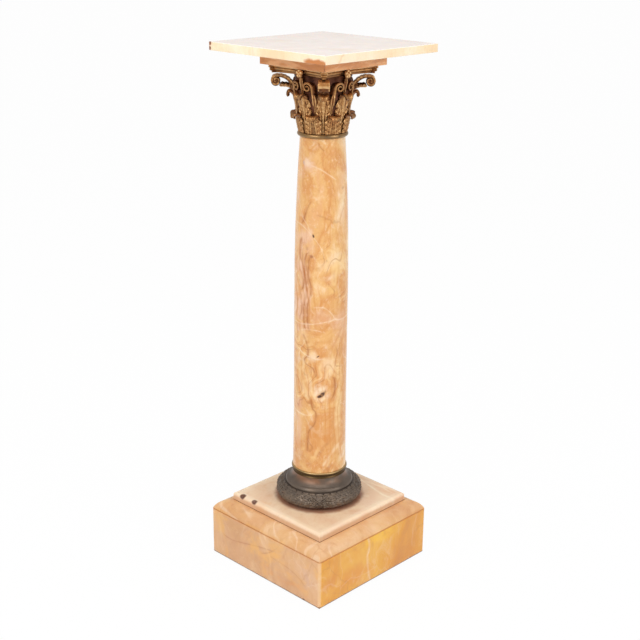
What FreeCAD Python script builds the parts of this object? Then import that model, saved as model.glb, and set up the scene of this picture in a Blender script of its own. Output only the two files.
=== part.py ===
import FreeCAD, Part
import math
import os

import Sketcher

# A pedestal column: an onyx shaft with gilt bronze capital and patinated bronze foot, on a square
# onyx plinth, carrying a square onyx top that turns on the end of the tie rod.
# Millimetres. The origin is the middle of the underside, +Z is up, the square sides lie along X and Y.

os.makedirs("parts", exist_ok=True)
doc = FreeCAD.newDocument("pedestal_column")
sheet = doc.addObject("Spreadsheet::Sheet", "sizes")
UP = FreeCAD.Vector(0, 0, 1)

SIZES = {
    # clearances
    "seat_gap": 0.3,
    "pivot_gap": 0.05,
    "bore_gap": 1.0,
    # square top, its neck and the turning joint
    "top_side": 305.0,
    "top_height": 16.0,
    "top_edge_radius": 1.6,
    "neck_side": 170.5,
    "neck_height": 24.5,
    "neck_edge_radius": 1.0,
    "bush_radius": 11.0,
    "bush_height": 20.0,
    "glide_radius": 46.0,
    "glide_height": 1.0,
    # tie rod with its nuts and washers
    "rod_radius": 6.0,
    "rod_chamfer": 1.0,
    "rod_foot_height": 7.0,
    "rod_end_gap": 1.5,
    "nut_across_flats": 19.0,
    "nut_height": 10.0,
    "washer_radius": 17.0,
    "washer_height": 3.0,
    # abacus
    "abacus_horn_radius": 103.8,
    "abacus_horn_half_width": 7.0,
    "abacus_waist": 61.0,
    "abacus_foot_height": 4.0,
    "abacus_foot_inset": 6.0,
    "abacus_ovolo_height": 5.5,
    "abacus_ovolo_inset": 2.5,
    "abacus_fillet_height": 5.0,
    "screw_circle_radius": 53.6,
    "screw_radius": 1.6,
    "screw_head_radius": 3.2,
    "screw_grip": 6.0,
    # bell
    "bell_height": 110.0,
    "bell_foot_radius": 42.2,
    "bell_lean": 9.0,
    "bell_cone_height": 54.0,
    "bell_neck_radius": 53.2,
    "bell_neck_height": 98.0,
    "bell_lip_radius": 57.5,
    "bell_lip_curve": 16.0,
    "bell_wall": 3.5,
    "bell_floor": 8.0,
    # ring at the top of the shaft
    "astragal_radius": 49.5,
    "astragal_height": 8.5,
    "astragal_bore_radius": 20.0,
    # acanthus leaves: straight run, then an open bend, then the curled tip
    "leaf_thickness": 2.0,
    "upper_leaf_run": 60.0,
    "upper_leaf_bend_radius": 22.0,
    "upper_leaf_bend_angle": 40.0,
    "upper_leaf_curl_radius": 3.4,
    "upper_leaf_curl_angle": 150.0,
    "upper_leaf_foot_half_width": 8.5,
    "upper_leaf_half_width": 16.0,
    "lower_leaf_lean": 13.0,
    "lower_leaf_run": 26.0,
    "lower_leaf_bend_radius": 13.0,
    "lower_leaf_bend_angle": 36.0,
    "lower_leaf_curl_radius": 2.0,
    "lower_leaf_curl_angle": 140.0,
    "lower_leaf_foot_half_width": 11.5,
    "lower_leaf_half_width": 15.8,
    "leaf_lobe_bulge": 1.8,
    # corner volutes and the small leaves under them
    "volute_thickness": 3.5,
    "volute_width": 24.0,
    "volute_foot_height": 82.0,
    "volute_lean": 20.0,
    "volute_foot_run": 5.0,
    "volute_rise_radius": 30.0,
    "volute_level_run": 4.4,
    "volute_scroll_radius": 9.3,
    "volute_scroll_step": 1.95,
    "calyx_thickness": 2.0,
    "calyx_width": 14.0,
    "calyx_foot_height": 76.5,
    "calyx_lean": 65.0,
    "calyx_foot_run": 8.0,
    "calyx_bend_radius": 40.0,
    "calyx_bend_angle": 27.0,
    "calyx_tip_run": 4.0,
    # pairs of inner scrolls in the middle of each face
    "helix_depth": 4.0,
    "helix_thickness": 2.4,
    "helix_foot_height": 82.0,
    "helix_lean": 5.0,
    "helix_rise_radius": 12.0,
    "helix_scroll_radius": 5.2,
    "helix_scroll_step": 1.6,
    "helix_parting": 0.8,
    "helix_tie_height": 4.0,
    "helix_stalk_half_width": 3.4,
    # rosettes in the middle of each abacus side
    "fleuron_radius": 7.6,
    "fleuron_petal_radius": 2.7,
    "fleuron_petal_height": 3.0,
    "fleuron_heart_radius": 3.4,
    "fleuron_heart_height": 5.5,
    # rivets that hold the cast ornament
    "rivet_radius": 1.5,
    "rivet_head_radius": 3.0,
    "rivet_head_height": 1.5,
    "rivet_bite": 1.3,
    "rivet_boss_radius": 3.2,
    "leaf_rivet_height": 14.0,
    # shaft
    "shaft_height": 696.0,
    "shaft_foot_radius": 55.8,
    "shaft_foot_sweep": 170.0,
    "shaft_body_radius": 54.1,
    "shaft_entasis_start": 382.0,
    "shaft_top_radius": 44.0,
    "shaft_foot_curve": 8500.0,
    "shaft_entasis_curve": 4900.0,
    "shaft_bore_radius": 9.0,
    # brass ring under the shaft
    "ring_radius": 58.3,
    "ring_height": 12.5,
    "ring_bore_radius": 40.0,
    "ring_bead": 4.0,
    "ring_shoulder": 2.2,
    # bronze foot casting
    "foot_height": 60.0,
    "foot_torus_radius": 91.5,
    "foot_torus_height": 34.5,
    "foot_groove_radius": 71.0,
    "foot_groove_height": 1.8,
    "foot_shoulder_height": 5.0,
    "foot_shoulder_radius": 68.5,
    "foot_shoulder_curve": 8.4,
    "foot_neck_radius": 54.0,
    "foot_neck_height": 3.5,
    "foot_scotia_curve": 20.0,
    "foot_wall": 6.0,
    "foot_boss_radius": 20.0,
    # plinth
    "plate_side": 259.0,
    "plate_height": 17.5,
    "plate_edge_radius": 7.0,
    "block_side": 326.0,
    "block_height": 128.0,
    "block_corner_radius": 14.0,
    "block_foot_radius": 5.0,
    "block_moulding_height": 20.5,
    "block_moulding_inset": 27.5,
    "block_moulding_curve": 32.0,
    "block_quirk": 1.2,
    "counterbore_radius": 21.0,
    "counterbore_depth": 23.0,
}

LEAVES_IN_A_ROW = 8
FACES = 4
LEAF_LOBES = 4
LEAF_SWELL_POWER = 1.35
SCROLL_EYE = 0.6
PETALS = 6
DIAGONAL = 45.0
LEAF_STEP = 360.0 / LEAVES_IN_A_ROW


def fill_sheet():
    """Write each size in its own row: its name in column A, its value in column B."""
    for row, (alias, number) in enumerate(SIZES.items(), start=1):
        sheet.set(f"A{row}", alias)
        sheet.set(f"B{row}", str(number))
        sheet.setAlias(f"B{row}", alias)
    doc.recompute()


fill_sheet()
pieces = {}


def size(alias):
    """One driving size, read from the sheet."""
    return float(sheet.get(alias))


def value(text):
    """What an expression over the sheet's cells comes to."""
    return float(sheet.evalExpression(text))


def keep(piece):
    """Count an object as a sub-part of the stand, under its label."""
    pieces[piece.Label] = piece
    return piece


# The stack from the floor up: each name's level is the sum of the heights below it.
STACK = ["block", "plate", "foot", "ring", "shaft", "astragal", "bell", "abacus", "glide", "neck", "top"]
ABACUS_HEIGHT = "sizes.abacus_foot_height + sizes.abacus_ovolo_height + sizes.abacus_fillet_height"


def height_of(name):
    return ABACUS_HEIGHT if name == "abacus" else f"sizes.{name}_height"


def level(name):
    """The expression for the height at which a member of the stack starts."""
    below = STACK[: STACK.index(name)]
    return " + ".join(height_of(each) for each in below) or "0"


# ---------------------------------------------------------------- sketches and features


def new_body(label):
    return keep(doc.addObject("PartDesign::Body", label))


def lift(piece, text):
    """Put a sub-part at a height given as an expression."""
    piece.setExpression("Placement.Base.z", text)


def new_sketch(body, name, role):
    """A sketch on one of the body's own origin planes."""
    sketch = body.newObject("Sketcher::SketchObject", f"{body.Label}_{name}")
    plane = next(each for each in body.Origin.OriginFeatures if each.Role == role)
    sketch.AttachmentSupport = [(plane, "")]
    sketch.MapMode = "FlatFace"
    return sketch


def bind(sketch, constraint, text):
    """Add a dimension whose value is an expression over the sheet."""
    index = sketch.addConstraint(constraint)
    sketch.setExpression(f"Constraints[{index}]", text)


def minor_arc(start, end, radius, turn):
    """The short arc from start to end: turn 1 bends to the left of the way, -1 to the right."""
    chord = end - start
    half = chord.Length / 2
    reach = math.sqrt(max(radius * radius - half * half, 0.0))
    left = FreeCAD.Vector(-chord.y, chord.x, 0).normalize()
    middle = (start + end) / 2
    centre = middle + left * (turn * reach)
    crown = centre + (middle - centre).normalize() * radius if reach else middle - left * (turn * radius)
    return Part.Arc(start, crown, end)


def draw(sketch, corners):
    """Close a ring through corners (across, up); a corner with (radius, turn) is reached on an arc."""
    points = [FreeCAD.Vector(value(each[0]), value(each[1]), 0) for each in corners]
    first = sketch.GeometryCount
    count = len(corners)
    for index, start in enumerate(points):
        following = (index + 1) % count
        end = points[following]
        bend = corners[following][2:]
        if bend:
            sketch.addGeometry(minor_arc(start, end, value(bend[0]), bend[1]), False)
        else:
            sketch.addGeometry(Part.LineSegment(start, end), False)
    ends = [edge_ends(corners[(index + 1) % count]) for index in range(count)]
    for index, (across, up) in enumerate(each[:2] for each in corners):
        before = (index - 1) % count
        start_vertex = ends[index][0]
        meeting = (first + before, ends[before][1], first + index, start_vertex)
        sketch.addConstraint(Sketcher.Constraint("Coincident", *meeting))
        spot = (-1, 1, first + index, start_vertex)
        bind(sketch, Sketcher.Constraint("DistanceX", *spot, points[index].x), across)
        bind(sketch, Sketcher.Constraint("DistanceY", *spot, points[index].y), up)
        bend = corners[(index + 1) % count][2:]
        if bend:
            bind(sketch, Sketcher.Constraint("Radius", first + index, value(bend[0])), bend[0])


def edge_ends(corner):
    """Which vertices of an edge are its start and end: an arc that bends right is stored backwards."""
    bends_right = len(corner) > 2 and corner[3] < 0
    return (2, 1) if bends_right else (1, 2)


def draw_circle(sketch, radius, across="0", up="0"):
    centre = FreeCAD.Vector(value(across), value(up), 0)
    index = sketch.addGeometry(Part.Circle(centre, UP, value(radius)), False)
    bind(sketch, Sketcher.Constraint("DistanceX", -1, 1, index, 3, centre.x), across)
    bind(sketch, Sketcher.Constraint("DistanceY", -1, 1, index, 3, centre.y), up)
    bind(sketch, Sketcher.Constraint("Radius", index, value(radius)), radius)


def mirrored(right):
    """A closed outline, symmetric about the vertical, from the corners of its right side upward."""
    left = []
    for index in range(len(right) - 1, -1, -1):
        across, up = right[index][:2]
        bend = right[index + 1][2:] if index + 1 < len(right) else ()
        left.append((f"-({across})", up, *bend))
    return right + left


def pad(body, sketch, length, centred=False):
    feature = body.newObject("PartDesign::Pad", f"{sketch.Label}_pad")
    feature.Profile = sketch
    feature.setExpression("Length", length)
    if centred:
        feature.SideType = "Symmetric"
    return feature


def pocket(body, sketch, depth, centred=False):
    """Cut a sketch upward from its plane, or to both sides of it."""
    feature = body.newObject("PartDesign::Pocket", f"{sketch.Label}_pocket")
    feature.Profile = sketch
    feature.setExpression("Length", depth)
    if centred:
        feature.SideType = "Symmetric"
    else:
        feature.Reversed = True
    return feature


def turn(body, corners):
    """Revolve an outline of (radius, height) corners about the body's own Z axis."""
    sketch = new_sketch(body, "profile", "XZ_Plane")
    draw(sketch, corners)
    feature = body.newObject("PartDesign::Revolution", f"{body.Label}_turned")
    feature.Profile = sketch
    feature.ReferenceAxis = (sketch, ["V_Axis"])
    feature.Angle = 360
    return feature


def bore(body, radius, depth, name="bore"):
    """A round hole up from the body's XY plane, on its axis."""
    sketch = new_sketch(body, name, "XY_Plane")
    draw_circle(sketch, radius)
    return pocket(body, sketch, depth)


# ---------------------------------------------------------------- square onyx slabs


def square(half):
    return [(f"-({half})", f"-({half})"), (half, f"-({half})"), (half, half), (f"-({half})", half)]


def rounded_square(half, radius):
    """A square with round corners, counter-clockwise from the lower right."""
    inner = f"({half}) - ({radius})"
    return [
        (inner, f"-({half})"),
        (half, f"-({inner})", radius, 1),
        (half, inner),
        (inner, half, radius, 1),
        (f"-({inner})", half),
        (f"-({half})", inner, radius, 1),
        (f"-({half})", f"-({inner})"),
        (f"-({inner})", f"-({half})", radius, 1),
    ]


def moulded_slab(label, side, right_side):
    """A square slab with the same moulded edge on its four sides, mitred at the corners."""
    body = new_body(label)
    margin = f"2 * {side}"
    front = new_sketch(body, "front", "XZ_Plane")
    draw(front, mirrored(right_side))
    pad(body, front, side, centred=True)
    flank = new_sketch(body, "flank", "YZ_Plane")
    draw(flank, square(margin))
    draw(flank, mirrored(right_side))
    pocket(body, flank, margin, centred=True)
    return body


def eased_edge(side, height, radius):
    """The right side of a slab's section, with both edges eased."""
    half = f"{side} / 2"
    return [
        (f"{half} - {radius}", "0"),
        (half, radius, radius, 1),
        (half, f"{height} - {radius}"),
        (f"{half} - {radius}", height, radius, 1),
    ]


ROD_HOLE = "sizes.rod_radius + sizes.bore_gap"


def make_top_slab():
    edge = eased_edge("sizes.top_side", "sizes.top_height", "sizes.top_edge_radius")
    lift(moulded_slab("top_slab", "sizes.top_side", edge), level("top"))


def make_neck_slab():
    edge = eased_edge("sizes.neck_side", "sizes.neck_height", "sizes.neck_edge_radius")
    body = moulded_slab("neck_slab", "sizes.neck_side", edge)
    bore(body, "sizes.bush_radius + sizes.pivot_gap", "sizes.bush_height + sizes.bore_gap")
    lift(body, level("neck"))


def make_plinth_plate():
    half = "sizes.plate_side / 2"
    radius = "sizes.plate_edge_radius"
    edge = [
        (half, "0"),
        (half, f"sizes.plate_height - {radius}"),
        (f"{half} - {radius}", "sizes.plate_height", radius, 1),
    ]
    body = moulded_slab("plinth_plate", "sizes.plate_side", edge)
    bore(body, ROD_HOLE, "sizes.plate_height")
    lift(body, level("plate"))


def make_plinth_block():
    half = "sizes.block_side / 2"
    foot = "sizes.block_foot_radius"
    arris = "sizes.block_height - sizes.block_moulding_height"
    edge = [
        (f"{half} - {foot}", "0"),
        (half, foot, foot, 1),
        (half, arris),
        (f"{half} - sizes.block_quirk", arris),
        (f"{half} - sizes.block_moulding_inset", "sizes.block_height", "sizes.block_moulding_curve", 1),
    ]
    body = moulded_slab("plinth_block", "sizes.block_side", edge)
    corners = new_sketch(body, "corners", "XY_Plane")
    draw(corners, square("sizes.block_side"))
    draw(corners, rounded_square(half, "sizes.block_corner_radius"))
    pocket(body, corners, "sizes.block_height")
    bore(body, ROD_HOLE, "sizes.block_height")
    bore(body, "sizes.counterbore_radius", "sizes.counterbore_depth", "counterbore")


# ---------------------------------------------------------------- turned pieces


def make_foot_casting():
    """The hollow bronze foot: torus, groove, shoulder and scotia, with a boss round the rod."""
    round_radius = "sizes.foot_torus_height / 2"
    torus_top = "sizes.foot_torus_height"
    groove_top = f"{torus_top} + sizes.foot_groove_height"
    shoulder_top = f"{groove_top} + sizes.foot_shoulder_height"
    neck_foot = "sizes.foot_height - sizes.foot_neck_height"
    crown = f"sizes.foot_torus_radius - {round_radius}"
    hollow_radius = f"{crown} - sizes.foot_wall"
    body = new_body("foot_casting")
    turn(body, [
        (ROD_HOLE, "0"),
        ("sizes.foot_boss_radius", "0"),
        ("sizes.foot_boss_radius", torus_top),
        ("sizes.foot_neck_radius - sizes.foot_wall", torus_top),
        (hollow_radius, round_radius),
        (hollow_radius, "0"),
        (crown, "0"),
        ("sizes.foot_torus_radius", round_radius, round_radius, 1),
        (crown, torus_top, round_radius, 1),
        ("sizes.foot_groove_radius", torus_top),
        ("sizes.foot_groove_radius", groove_top),
        ("sizes.foot_shoulder_radius", shoulder_top, "sizes.foot_shoulder_curve", 1),
        ("sizes.foot_neck_radius", neck_foot, "sizes.foot_scotia_curve", -1),
        ("sizes.foot_neck_radius", "sizes.foot_height"),
        (ROD_HOLE, "sizes.foot_height"),
    ])
    lift(body, level("foot"))


def make_shaft_ring():
    """The brass ring that the shaft stands on: a shoulder with a half-round bead over it."""
    bead = "sizes.ring_bead"
    body = new_body("shaft_ring")
    shoulder_radius = f"sizes.ring_radius - {bead} + sizes.ring_shoulder"
    bead_foot = f"sizes.ring_height - 2 * {bead}"
    turn(body, [
        ("sizes.ring_bore_radius", "0"),
        (shoulder_radius, "0"),
        (f"sizes.ring_radius - {bead}", bead_foot, f"{bead} + sizes.ring_shoulder", -1),
        ("sizes.ring_radius", f"{bead_foot} + {bead}", bead, 1),
        (f"sizes.ring_radius - {bead}", "sizes.ring_height", bead, 1),
        ("sizes.ring_bore_radius", "sizes.ring_height"),
    ])
    lift(body, level("ring"))


def make_shaft():
    """The bored onyx shaft: a slight spread at the foot, then a long swell up to the narrow top."""
    body = new_body("shaft")
    turn(body, [
        ("sizes.shaft_bore_radius", "0"),
        ("sizes.shaft_foot_radius", "0"),
        ("sizes.shaft_body_radius", "sizes.shaft_foot_sweep", "sizes.shaft_foot_curve", -1),
        ("sizes.shaft_body_radius", "sizes.shaft_entasis_start"),
        ("sizes.shaft_top_radius", "sizes.shaft_height", "sizes.shaft_entasis_curve", 1),
        ("sizes.shaft_bore_radius", "sizes.shaft_height"),
    ])
    lift(body, level("shaft"))


def make_astragal():
    bead = "sizes.astragal_height / 2"
    body = new_body("capital_astragal")
    turn(body, [
        ("sizes.astragal_bore_radius", "0"),
        (f"sizes.astragal_radius - {bead}", "0"),
        ("sizes.astragal_radius", bead, bead, 1),
        (f"sizes.astragal_radius - {bead}", "sizes.astragal_height", bead, 1),
        ("sizes.astragal_bore_radius", "sizes.astragal_height"),
    ])
    lift(body, level("astragal"))


def make_bell():
    """The hollow bell: a leaning cone, a steeper neck and a lip, closed by a floor at its foot."""
    cone_top = "sizes.bell_foot_radius + sizes.bell_cone_height * tan(sizes.bell_lean)"
    floor_inside = "sizes.bell_foot_radius + sizes.bell_floor * tan(sizes.bell_lean) - sizes.bell_wall"
    body = new_body("capital_bell")
    turn(body, [
        (ROD_HOLE, "0"),
        ("sizes.bell_foot_radius", "0"),
        (cone_top, "sizes.bell_cone_height"),
        ("sizes.bell_neck_radius", "sizes.bell_neck_height"),
        ("sizes.bell_lip_radius", "sizes.bell_height", "sizes.bell_lip_curve", -1),
        ("sizes.bell_neck_radius - sizes.bell_wall", "sizes.bell_height"),
        ("sizes.bell_neck_radius - sizes.bell_wall", "sizes.bell_neck_height"),
        (f"{cone_top} - sizes.bell_wall", "sizes.bell_cone_height"),
        (floor_inside, "sizes.bell_floor"),
        (ROD_HOLE, "sizes.bell_floor"),
    ])
    cut_rivet_holes(body, "leaf_rivet_holes", "sizes.leaf_rivet_height", 2 * LEAVES_IN_A_ROW)
    cut_rivet_holes(body, "ornament_rivet_holes", ORNAMENT_RIVET_HEIGHT, 2 * FACES)
    cut_screw_holes(body)
    lift(body, level("bell"))


ORNAMENT_RIVET_HEIGHT = "sizes.volute_foot_height + sizes.rivet_boss_radius"


def polar(body, feature, count):
    """Repeat a feature evenly round the body's Z axis."""
    pattern = body.newObject("PartDesign::PolarPattern", f"{feature.Label}_round")
    axis = next(each for each in body.Origin.OriginFeatures if each.Role == "Z_Axis")
    pattern.Originals = [feature]
    pattern.Axis = (axis, [""])
    pattern.Angle = 360
    pattern.Occurrences = count
    body.Tip = pattern
    return pattern


def cut_rivet_holes(body, name, height, count):
    """Holes square to the axis, evenly spaced, from inside the bell out through its wall."""
    sketch = new_sketch(body, name, "YZ_Plane")
    draw_circle(sketch, "sizes.rivet_radius + sizes.pivot_gap", "0", height)
    polar(body, pocket(body, sketch, "sizes.bell_lip_radius"), count)


def cut_screw_holes(body):
    """Holes down into the bell's rim for the screws of the abacus."""
    sketch = new_sketch(body, "screw_hole", "XY_Plane")
    spot = f"sizes.screw_circle_radius * cos({DIAGONAL})"
    draw_circle(sketch, "sizes.screw_radius + sizes.pivot_gap", spot, spot)
    sketch.setExpression("AttachmentOffset.Base.z", "sizes.bell_height - sizes.screw_grip - sizes.bore_gap")
    polar(body, pocket(body, sketch, "sizes.screw_grip + sizes.bore_gap"), FACES)


# ---------------------------------------------------------------- rod, nuts, washers, bush


ROD_TOP = f"{level('neck')} + sizes.bush_height - sizes.rod_end_gap"
TOP_WASHER_LEVEL = f"{level('bell')} + sizes.bell_floor"
FOOT_WASHER_LEVEL = "sizes.counterbore_depth - sizes.washer_height"


def make_tie_rod():
    """The iron rod from the counterbore under the plinth up into the bush of the neck."""
    chamfer = "sizes.rod_chamfer"
    length = f"{ROD_TOP} - sizes.rod_foot_height"
    body = new_body("tie_rod")
    turn(body, [
        ("0", "0"),
        (f"sizes.rod_radius - {chamfer}", "0"),
        ("sizes.rod_radius", chamfer),
        ("sizes.rod_radius", f"{length} - {chamfer}"),
        (f"sizes.rod_radius - {chamfer}", length),
        ("0", length),
    ])
    lift(body, "sizes.rod_foot_height")


def make_nut(label, height):
    body = new_body(label)
    sketch = new_sketch(body, "hexagon", "XY_Plane")
    corner_radius = f"sizes.nut_across_flats / 2 / cos({360 / 12})"
    angles = [60 * step for step in range(6)]
    draw(sketch, [(f"{corner_radius} * cos({each})", f"{corner_radius} * sin({each})") for each in angles])
    draw_circle(sketch, "sizes.rod_radius + sizes.pivot_gap")
    pad(body, sketch, "sizes.nut_height")
    lift(body, height)


def make_round(label, outer, inner, thickness, height):
    """A washer, bush or disc: one cylinder cut by another."""
    blank = doc.addObject("Part::Cylinder", f"{label}_blank")
    blank.setExpression("Radius", outer)
    blank.setExpression("Height", thickness)
    hole = doc.addObject("Part::Cylinder", f"{label}_hole")
    hole.setExpression("Radius", inner)
    hole.setExpression("Height", thickness)
    piece = keep(doc.addObject("Part::Cut", label))
    piece.Base = blank
    piece.Tool = hole
    lift(piece, height)


def make_fasteners():
    make_tie_rod()
    make_nut("top_nut", f"{TOP_WASHER_LEVEL} + sizes.washer_height")
    make_nut("foot_nut", f"{FOOT_WASHER_LEVEL} - sizes.nut_height")
    make_round("top_washer", "sizes.washer_radius", ROD_HOLE, "sizes.washer_height", TOP_WASHER_LEVEL)
    make_round("foot_washer", "sizes.washer_radius", ROD_HOLE, "sizes.washer_height", FOOT_WASHER_LEVEL)
    turning_fit = "sizes.rod_radius + sizes.pivot_gap"
    make_round("pivot_bush", "sizes.bush_radius", turning_fit, "sizes.bush_height", level("neck"))
    make_round("glide_washer", "sizes.glide_radius", ROD_HOLE, "sizes.glide_height", level("glide"))


# ---------------------------------------------------------------- abacus


def abacus_outline(inset):
    """Four blunt horns on the diagonals, joined by hollow sides."""
    horn = f"sizes.abacus_horn_radius - ({inset})"
    near = f"(({horn}) - sizes.abacus_horn_half_width) * cos({DIAGONAL})"
    far = f"(({horn}) + sizes.abacus_horn_half_width) * cos({DIAGONAL})"
    dip = f"({far} - sizes.abacus_waist + ({inset}))"
    hollow = f"(({near})^2 + {dip}^2) / (2 * {dip})"
    return [
        (far, f"-({near})"),
        (far, near, hollow, -1),
        (near, far),
        (f"-({near})", far, hollow, -1),
        (f"-({far})", near),
        (f"-({far})", f"-({near})", hollow, -1),
        (f"-({near})", f"-({far})"),
        (near, f"-({far})", hollow, -1),
    ]


def make_abacus():
    """Three tiers: a small foot, a wider middle and the fillet on top, with a guide hole for the rod."""
    body = new_body("abacus")
    tiers = [("foot", "sizes.abacus_foot_inset"), ("ovolo", "sizes.abacus_ovolo_inset"), ("fillet", "0")]
    start = "0"
    for name, inset in tiers:
        sketch = new_sketch(body, name, "XY_Plane")
        draw(sketch, abacus_outline(inset))
        sketch.setExpression("AttachmentOffset.Base.z", start)
        pad(body, sketch, f"sizes.abacus_{name}_height")
        start = f"{start} + sizes.abacus_{name}_height"
    bore(body, ROD_HOLE, ABACUS_HEIGHT)
    cut_abacus_screw_holes(body)
    lift(body, level("abacus"))


def cut_abacus_screw_holes(body):
    """A clearance hole through, and a wide one for the head, on each diagonal."""
    spot = f"sizes.screw_circle_radius * cos({DIAGONAL})"
    shank = new_sketch(body, "screw_shank", "XY_Plane")
    draw_circle(shank, "sizes.screw_radius + sizes.seat_gap", spot, spot)
    polar(body, pocket(body, shank, ABACUS_HEIGHT), FACES)
    head = new_sketch(body, "screw_head", "XY_Plane")
    draw_circle(head, "sizes.screw_head_radius + sizes.seat_gap", spot, spot)
    head.setExpression("AttachmentOffset.Base.z", "sizes.abacus_foot_height + sizes.abacus_ovolo_height")
    polar(body, pocket(body, head, "sizes.abacus_fillet_height"), FACES)


def stand_at(angle, height):
    """A placement at a height, turned about the column's axis."""
    return FreeCAD.Placement(FreeCAD.Vector(0, 0, height), FreeCAD.Rotation(UP, angle))


def keep_shape(label, shape, placement):
    """A sub-part whose shape is worked out from the sheet's sizes, stood up as it lies in the stack."""
    piece = keep(doc.addObject("Part::Feature", label))
    piece.Shape = shape
    piece.Placement = placement.multiply(shape.Placement)
    return piece


def make_abacus_screws():
    """Four cheese-head screws, their heads sunk in the abacus and their shanks in the bell's rim."""
    ovolo_top = size("abacus_foot_height") + size("abacus_ovolo_height")
    head_height = size("abacus_fillet_height") - size("bore_gap")
    screws = []
    for face in range(FACES):
        angle = math.radians(DIAGONAL + face * 360 / FACES)
        spot = size("screw_circle_radius") * FreeCAD.Vector(math.cos(angle), math.sin(angle), 0)
        shank_foot = spot - UP * size("screw_grip")
        shank = Part.makeCylinder(size("screw_radius"), size("screw_grip") + ovolo_top, shank_foot, UP)
        head = Part.makeCylinder(size("screw_head_radius"), head_height, spot + UP * ovolo_top, UP)
        screws.append(shank.fuse(head).removeSplitter().Solids[0])
    keep_shape("abacus_screws", Part.makeCompound(screws), stand_at(0, value(level("abacus"))))


# ---------------------------------------------------------------- bent strips: leaves and scrolls


def bell_radius(height):
    """The bell's outer radius at a height above its foot, below its lip."""
    cone_height = size("bell_cone_height")
    lean = math.tan(math.radians(size("bell_lean")))
    if height <= cone_height:
        return size("bell_foot_radius") + height * lean
    cone_top = size("bell_foot_radius") + cone_height * lean
    share = (height - cone_height) / (size("bell_neck_height") - cone_height)
    return cone_top + share * (size("bell_neck_radius") - cone_top)


def strip(start, lean, thickness, bends):
    """A face in the XZ plane: a strip of even thickness along straight runs and tangent arcs.

    start is the middle of its foot, lean its tilt from upright towards +X in degrees. A bend is
    (run,) for a straight length or (radius, angle) for an arc towards +X.
    """
    spot = FreeCAD.Vector(start[0], 0, start[1])
    heading = math.radians(lean)
    half = thickness / 2
    inner, outer = [], []
    for bend in bends:
        ahead = FreeCAD.Vector(math.sin(heading), 0, math.cos(heading))
        side = FreeCAD.Vector(math.cos(heading), 0, -math.sin(heading))
        if len(bend) == 1:
            end = spot + ahead * bend[0]
            inner.append(Part.LineSegment(spot + side * half, end + side * half).toShape())
            outer.append(Part.LineSegment(spot - side * half, end - side * half).toShape())
            spot = end
            continue
        radius, angle = bend[0], math.radians(bend[1])
        centre = spot + side * radius
        inner.append(bend_edge(centre, radius - half, heading, angle))
        outer.append(bend_edge(centre, radius + half, heading, angle))
        heading += angle
        spot = centre + around(heading) * radius
    foot = Part.LineSegment(inner[0].Vertexes[0].Point, outer[0].Vertexes[0].Point).toShape()
    tip = Part.LineSegment(inner[-1].Vertexes[-1].Point, outer[-1].Vertexes[-1].Point).toShape()
    return Part.Face(Part.Wire(Part.__sortEdges__([foot, *inner, tip, *outer])))


def around(heading):
    """From a bend's centre towards the strip, where the strip has this heading."""
    return FreeCAD.Vector(-math.cos(heading), 0, math.sin(heading))


def bend_edge(centre, radius, heading, angle):
    points = [centre + around(heading + angle * share) * radius for share in (0, 0.5, 1)]
    return Part.Arc(*points).toShape()


def leaf_outline(foot_half_width, half_width, height):
    """The leaf seen from the front, in the YZ plane: lobes up both sides and a blunt tip."""
    edges = []
    bulge = size("leaf_lobe_bulge")
    right = []
    for step in range(LEAF_LOBES + 1):
        share = step / LEAF_LOBES
        swell = math.sin(math.pi * share ** LEAF_SWELL_POWER)
        width = foot_half_width + (half_width - foot_half_width) * swell
        right.append(FreeCAD.Vector(0, width, height * share))
    for low, high in zip(right, right[1:]):
        middle = (low + high) / 2 + FreeCAD.Vector(0, bulge, bulge / 2)
        edges.append(Part.Arc(low, middle, high).toShape())
        flip = [FreeCAD.Vector(0, -each.y, each.z) for each in (low, middle, high)]
        edges.append(Part.Arc(*flip).toShape())
    for end in (right[0], right[-1]):
        edges.append(Part.LineSegment(end, FreeCAD.Vector(0, -end.y, end.z)).toShape())
    return Part.Face(Part.Wire(Part.__sortEdges__(edges)))


def leaf(name, foot_radius, lean, boss_end=0):
    """A cast acanthus leaf that wraps the bell, with a blind hole for its rivet."""
    bends = [
        (size(f"{name}_run"),),
        (size(f"{name}_bend_radius"), size(f"{name}_bend_angle")),
        (size(f"{name}_curl_radius"), size(f"{name}_curl_angle")),
    ]
    side_view = strip((foot_radius, 0), lean, size("leaf_thickness"), bends)
    wrap = 2 * LEAF_STEP
    side_view.rotate(FreeCAD.Vector(), UP, -wrap / 2)
    shell = side_view.revolve(FreeCAD.Vector(), UP, wrap)
    top = shell.BoundBox.ZMax
    outline = leaf_outline(size(f"{name}_foot_half_width"), size(f"{name}_half_width"), top)
    front = outline.extrude(FreeCAD.Vector(shell.BoundBox.XMax + 1, 0, 0))
    blade = shell.common(front)
    return add_rivet_seat(blade, size("leaf_rivet_height"), boss_end)


def add_rivet_seat(shape, height, boss_end=0):
    """A blind hole for the rivet, in a boss from the bell's wall out to the radius boss_end."""
    out = FreeCAD.Vector(1, 0, 0)
    wall = bell_radius(height)
    boss_radius = size("rivet_boss_radius")
    boss_start = bell_radius(height + boss_radius) + size("seat_gap")
    if boss_end > boss_start:
        foot = FreeCAD.Vector(boss_start, 0, height)
        boss = Part.makeCylinder(boss_radius, boss_end - boss_start, foot, out)
        shape = shape.fuse(boss).removeSplitter()
    inside = FreeCAD.Vector(wall - size("bell_wall"), 0, height)
    depth = size("bell_wall") + size("seat_gap") + size("rivet_bite") + size("pivot_gap")
    hole = Part.makeCylinder(size("rivet_radius") + size("pivot_gap"), depth, inside, out)
    return shape.cut(hole).Solids[0]


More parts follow.
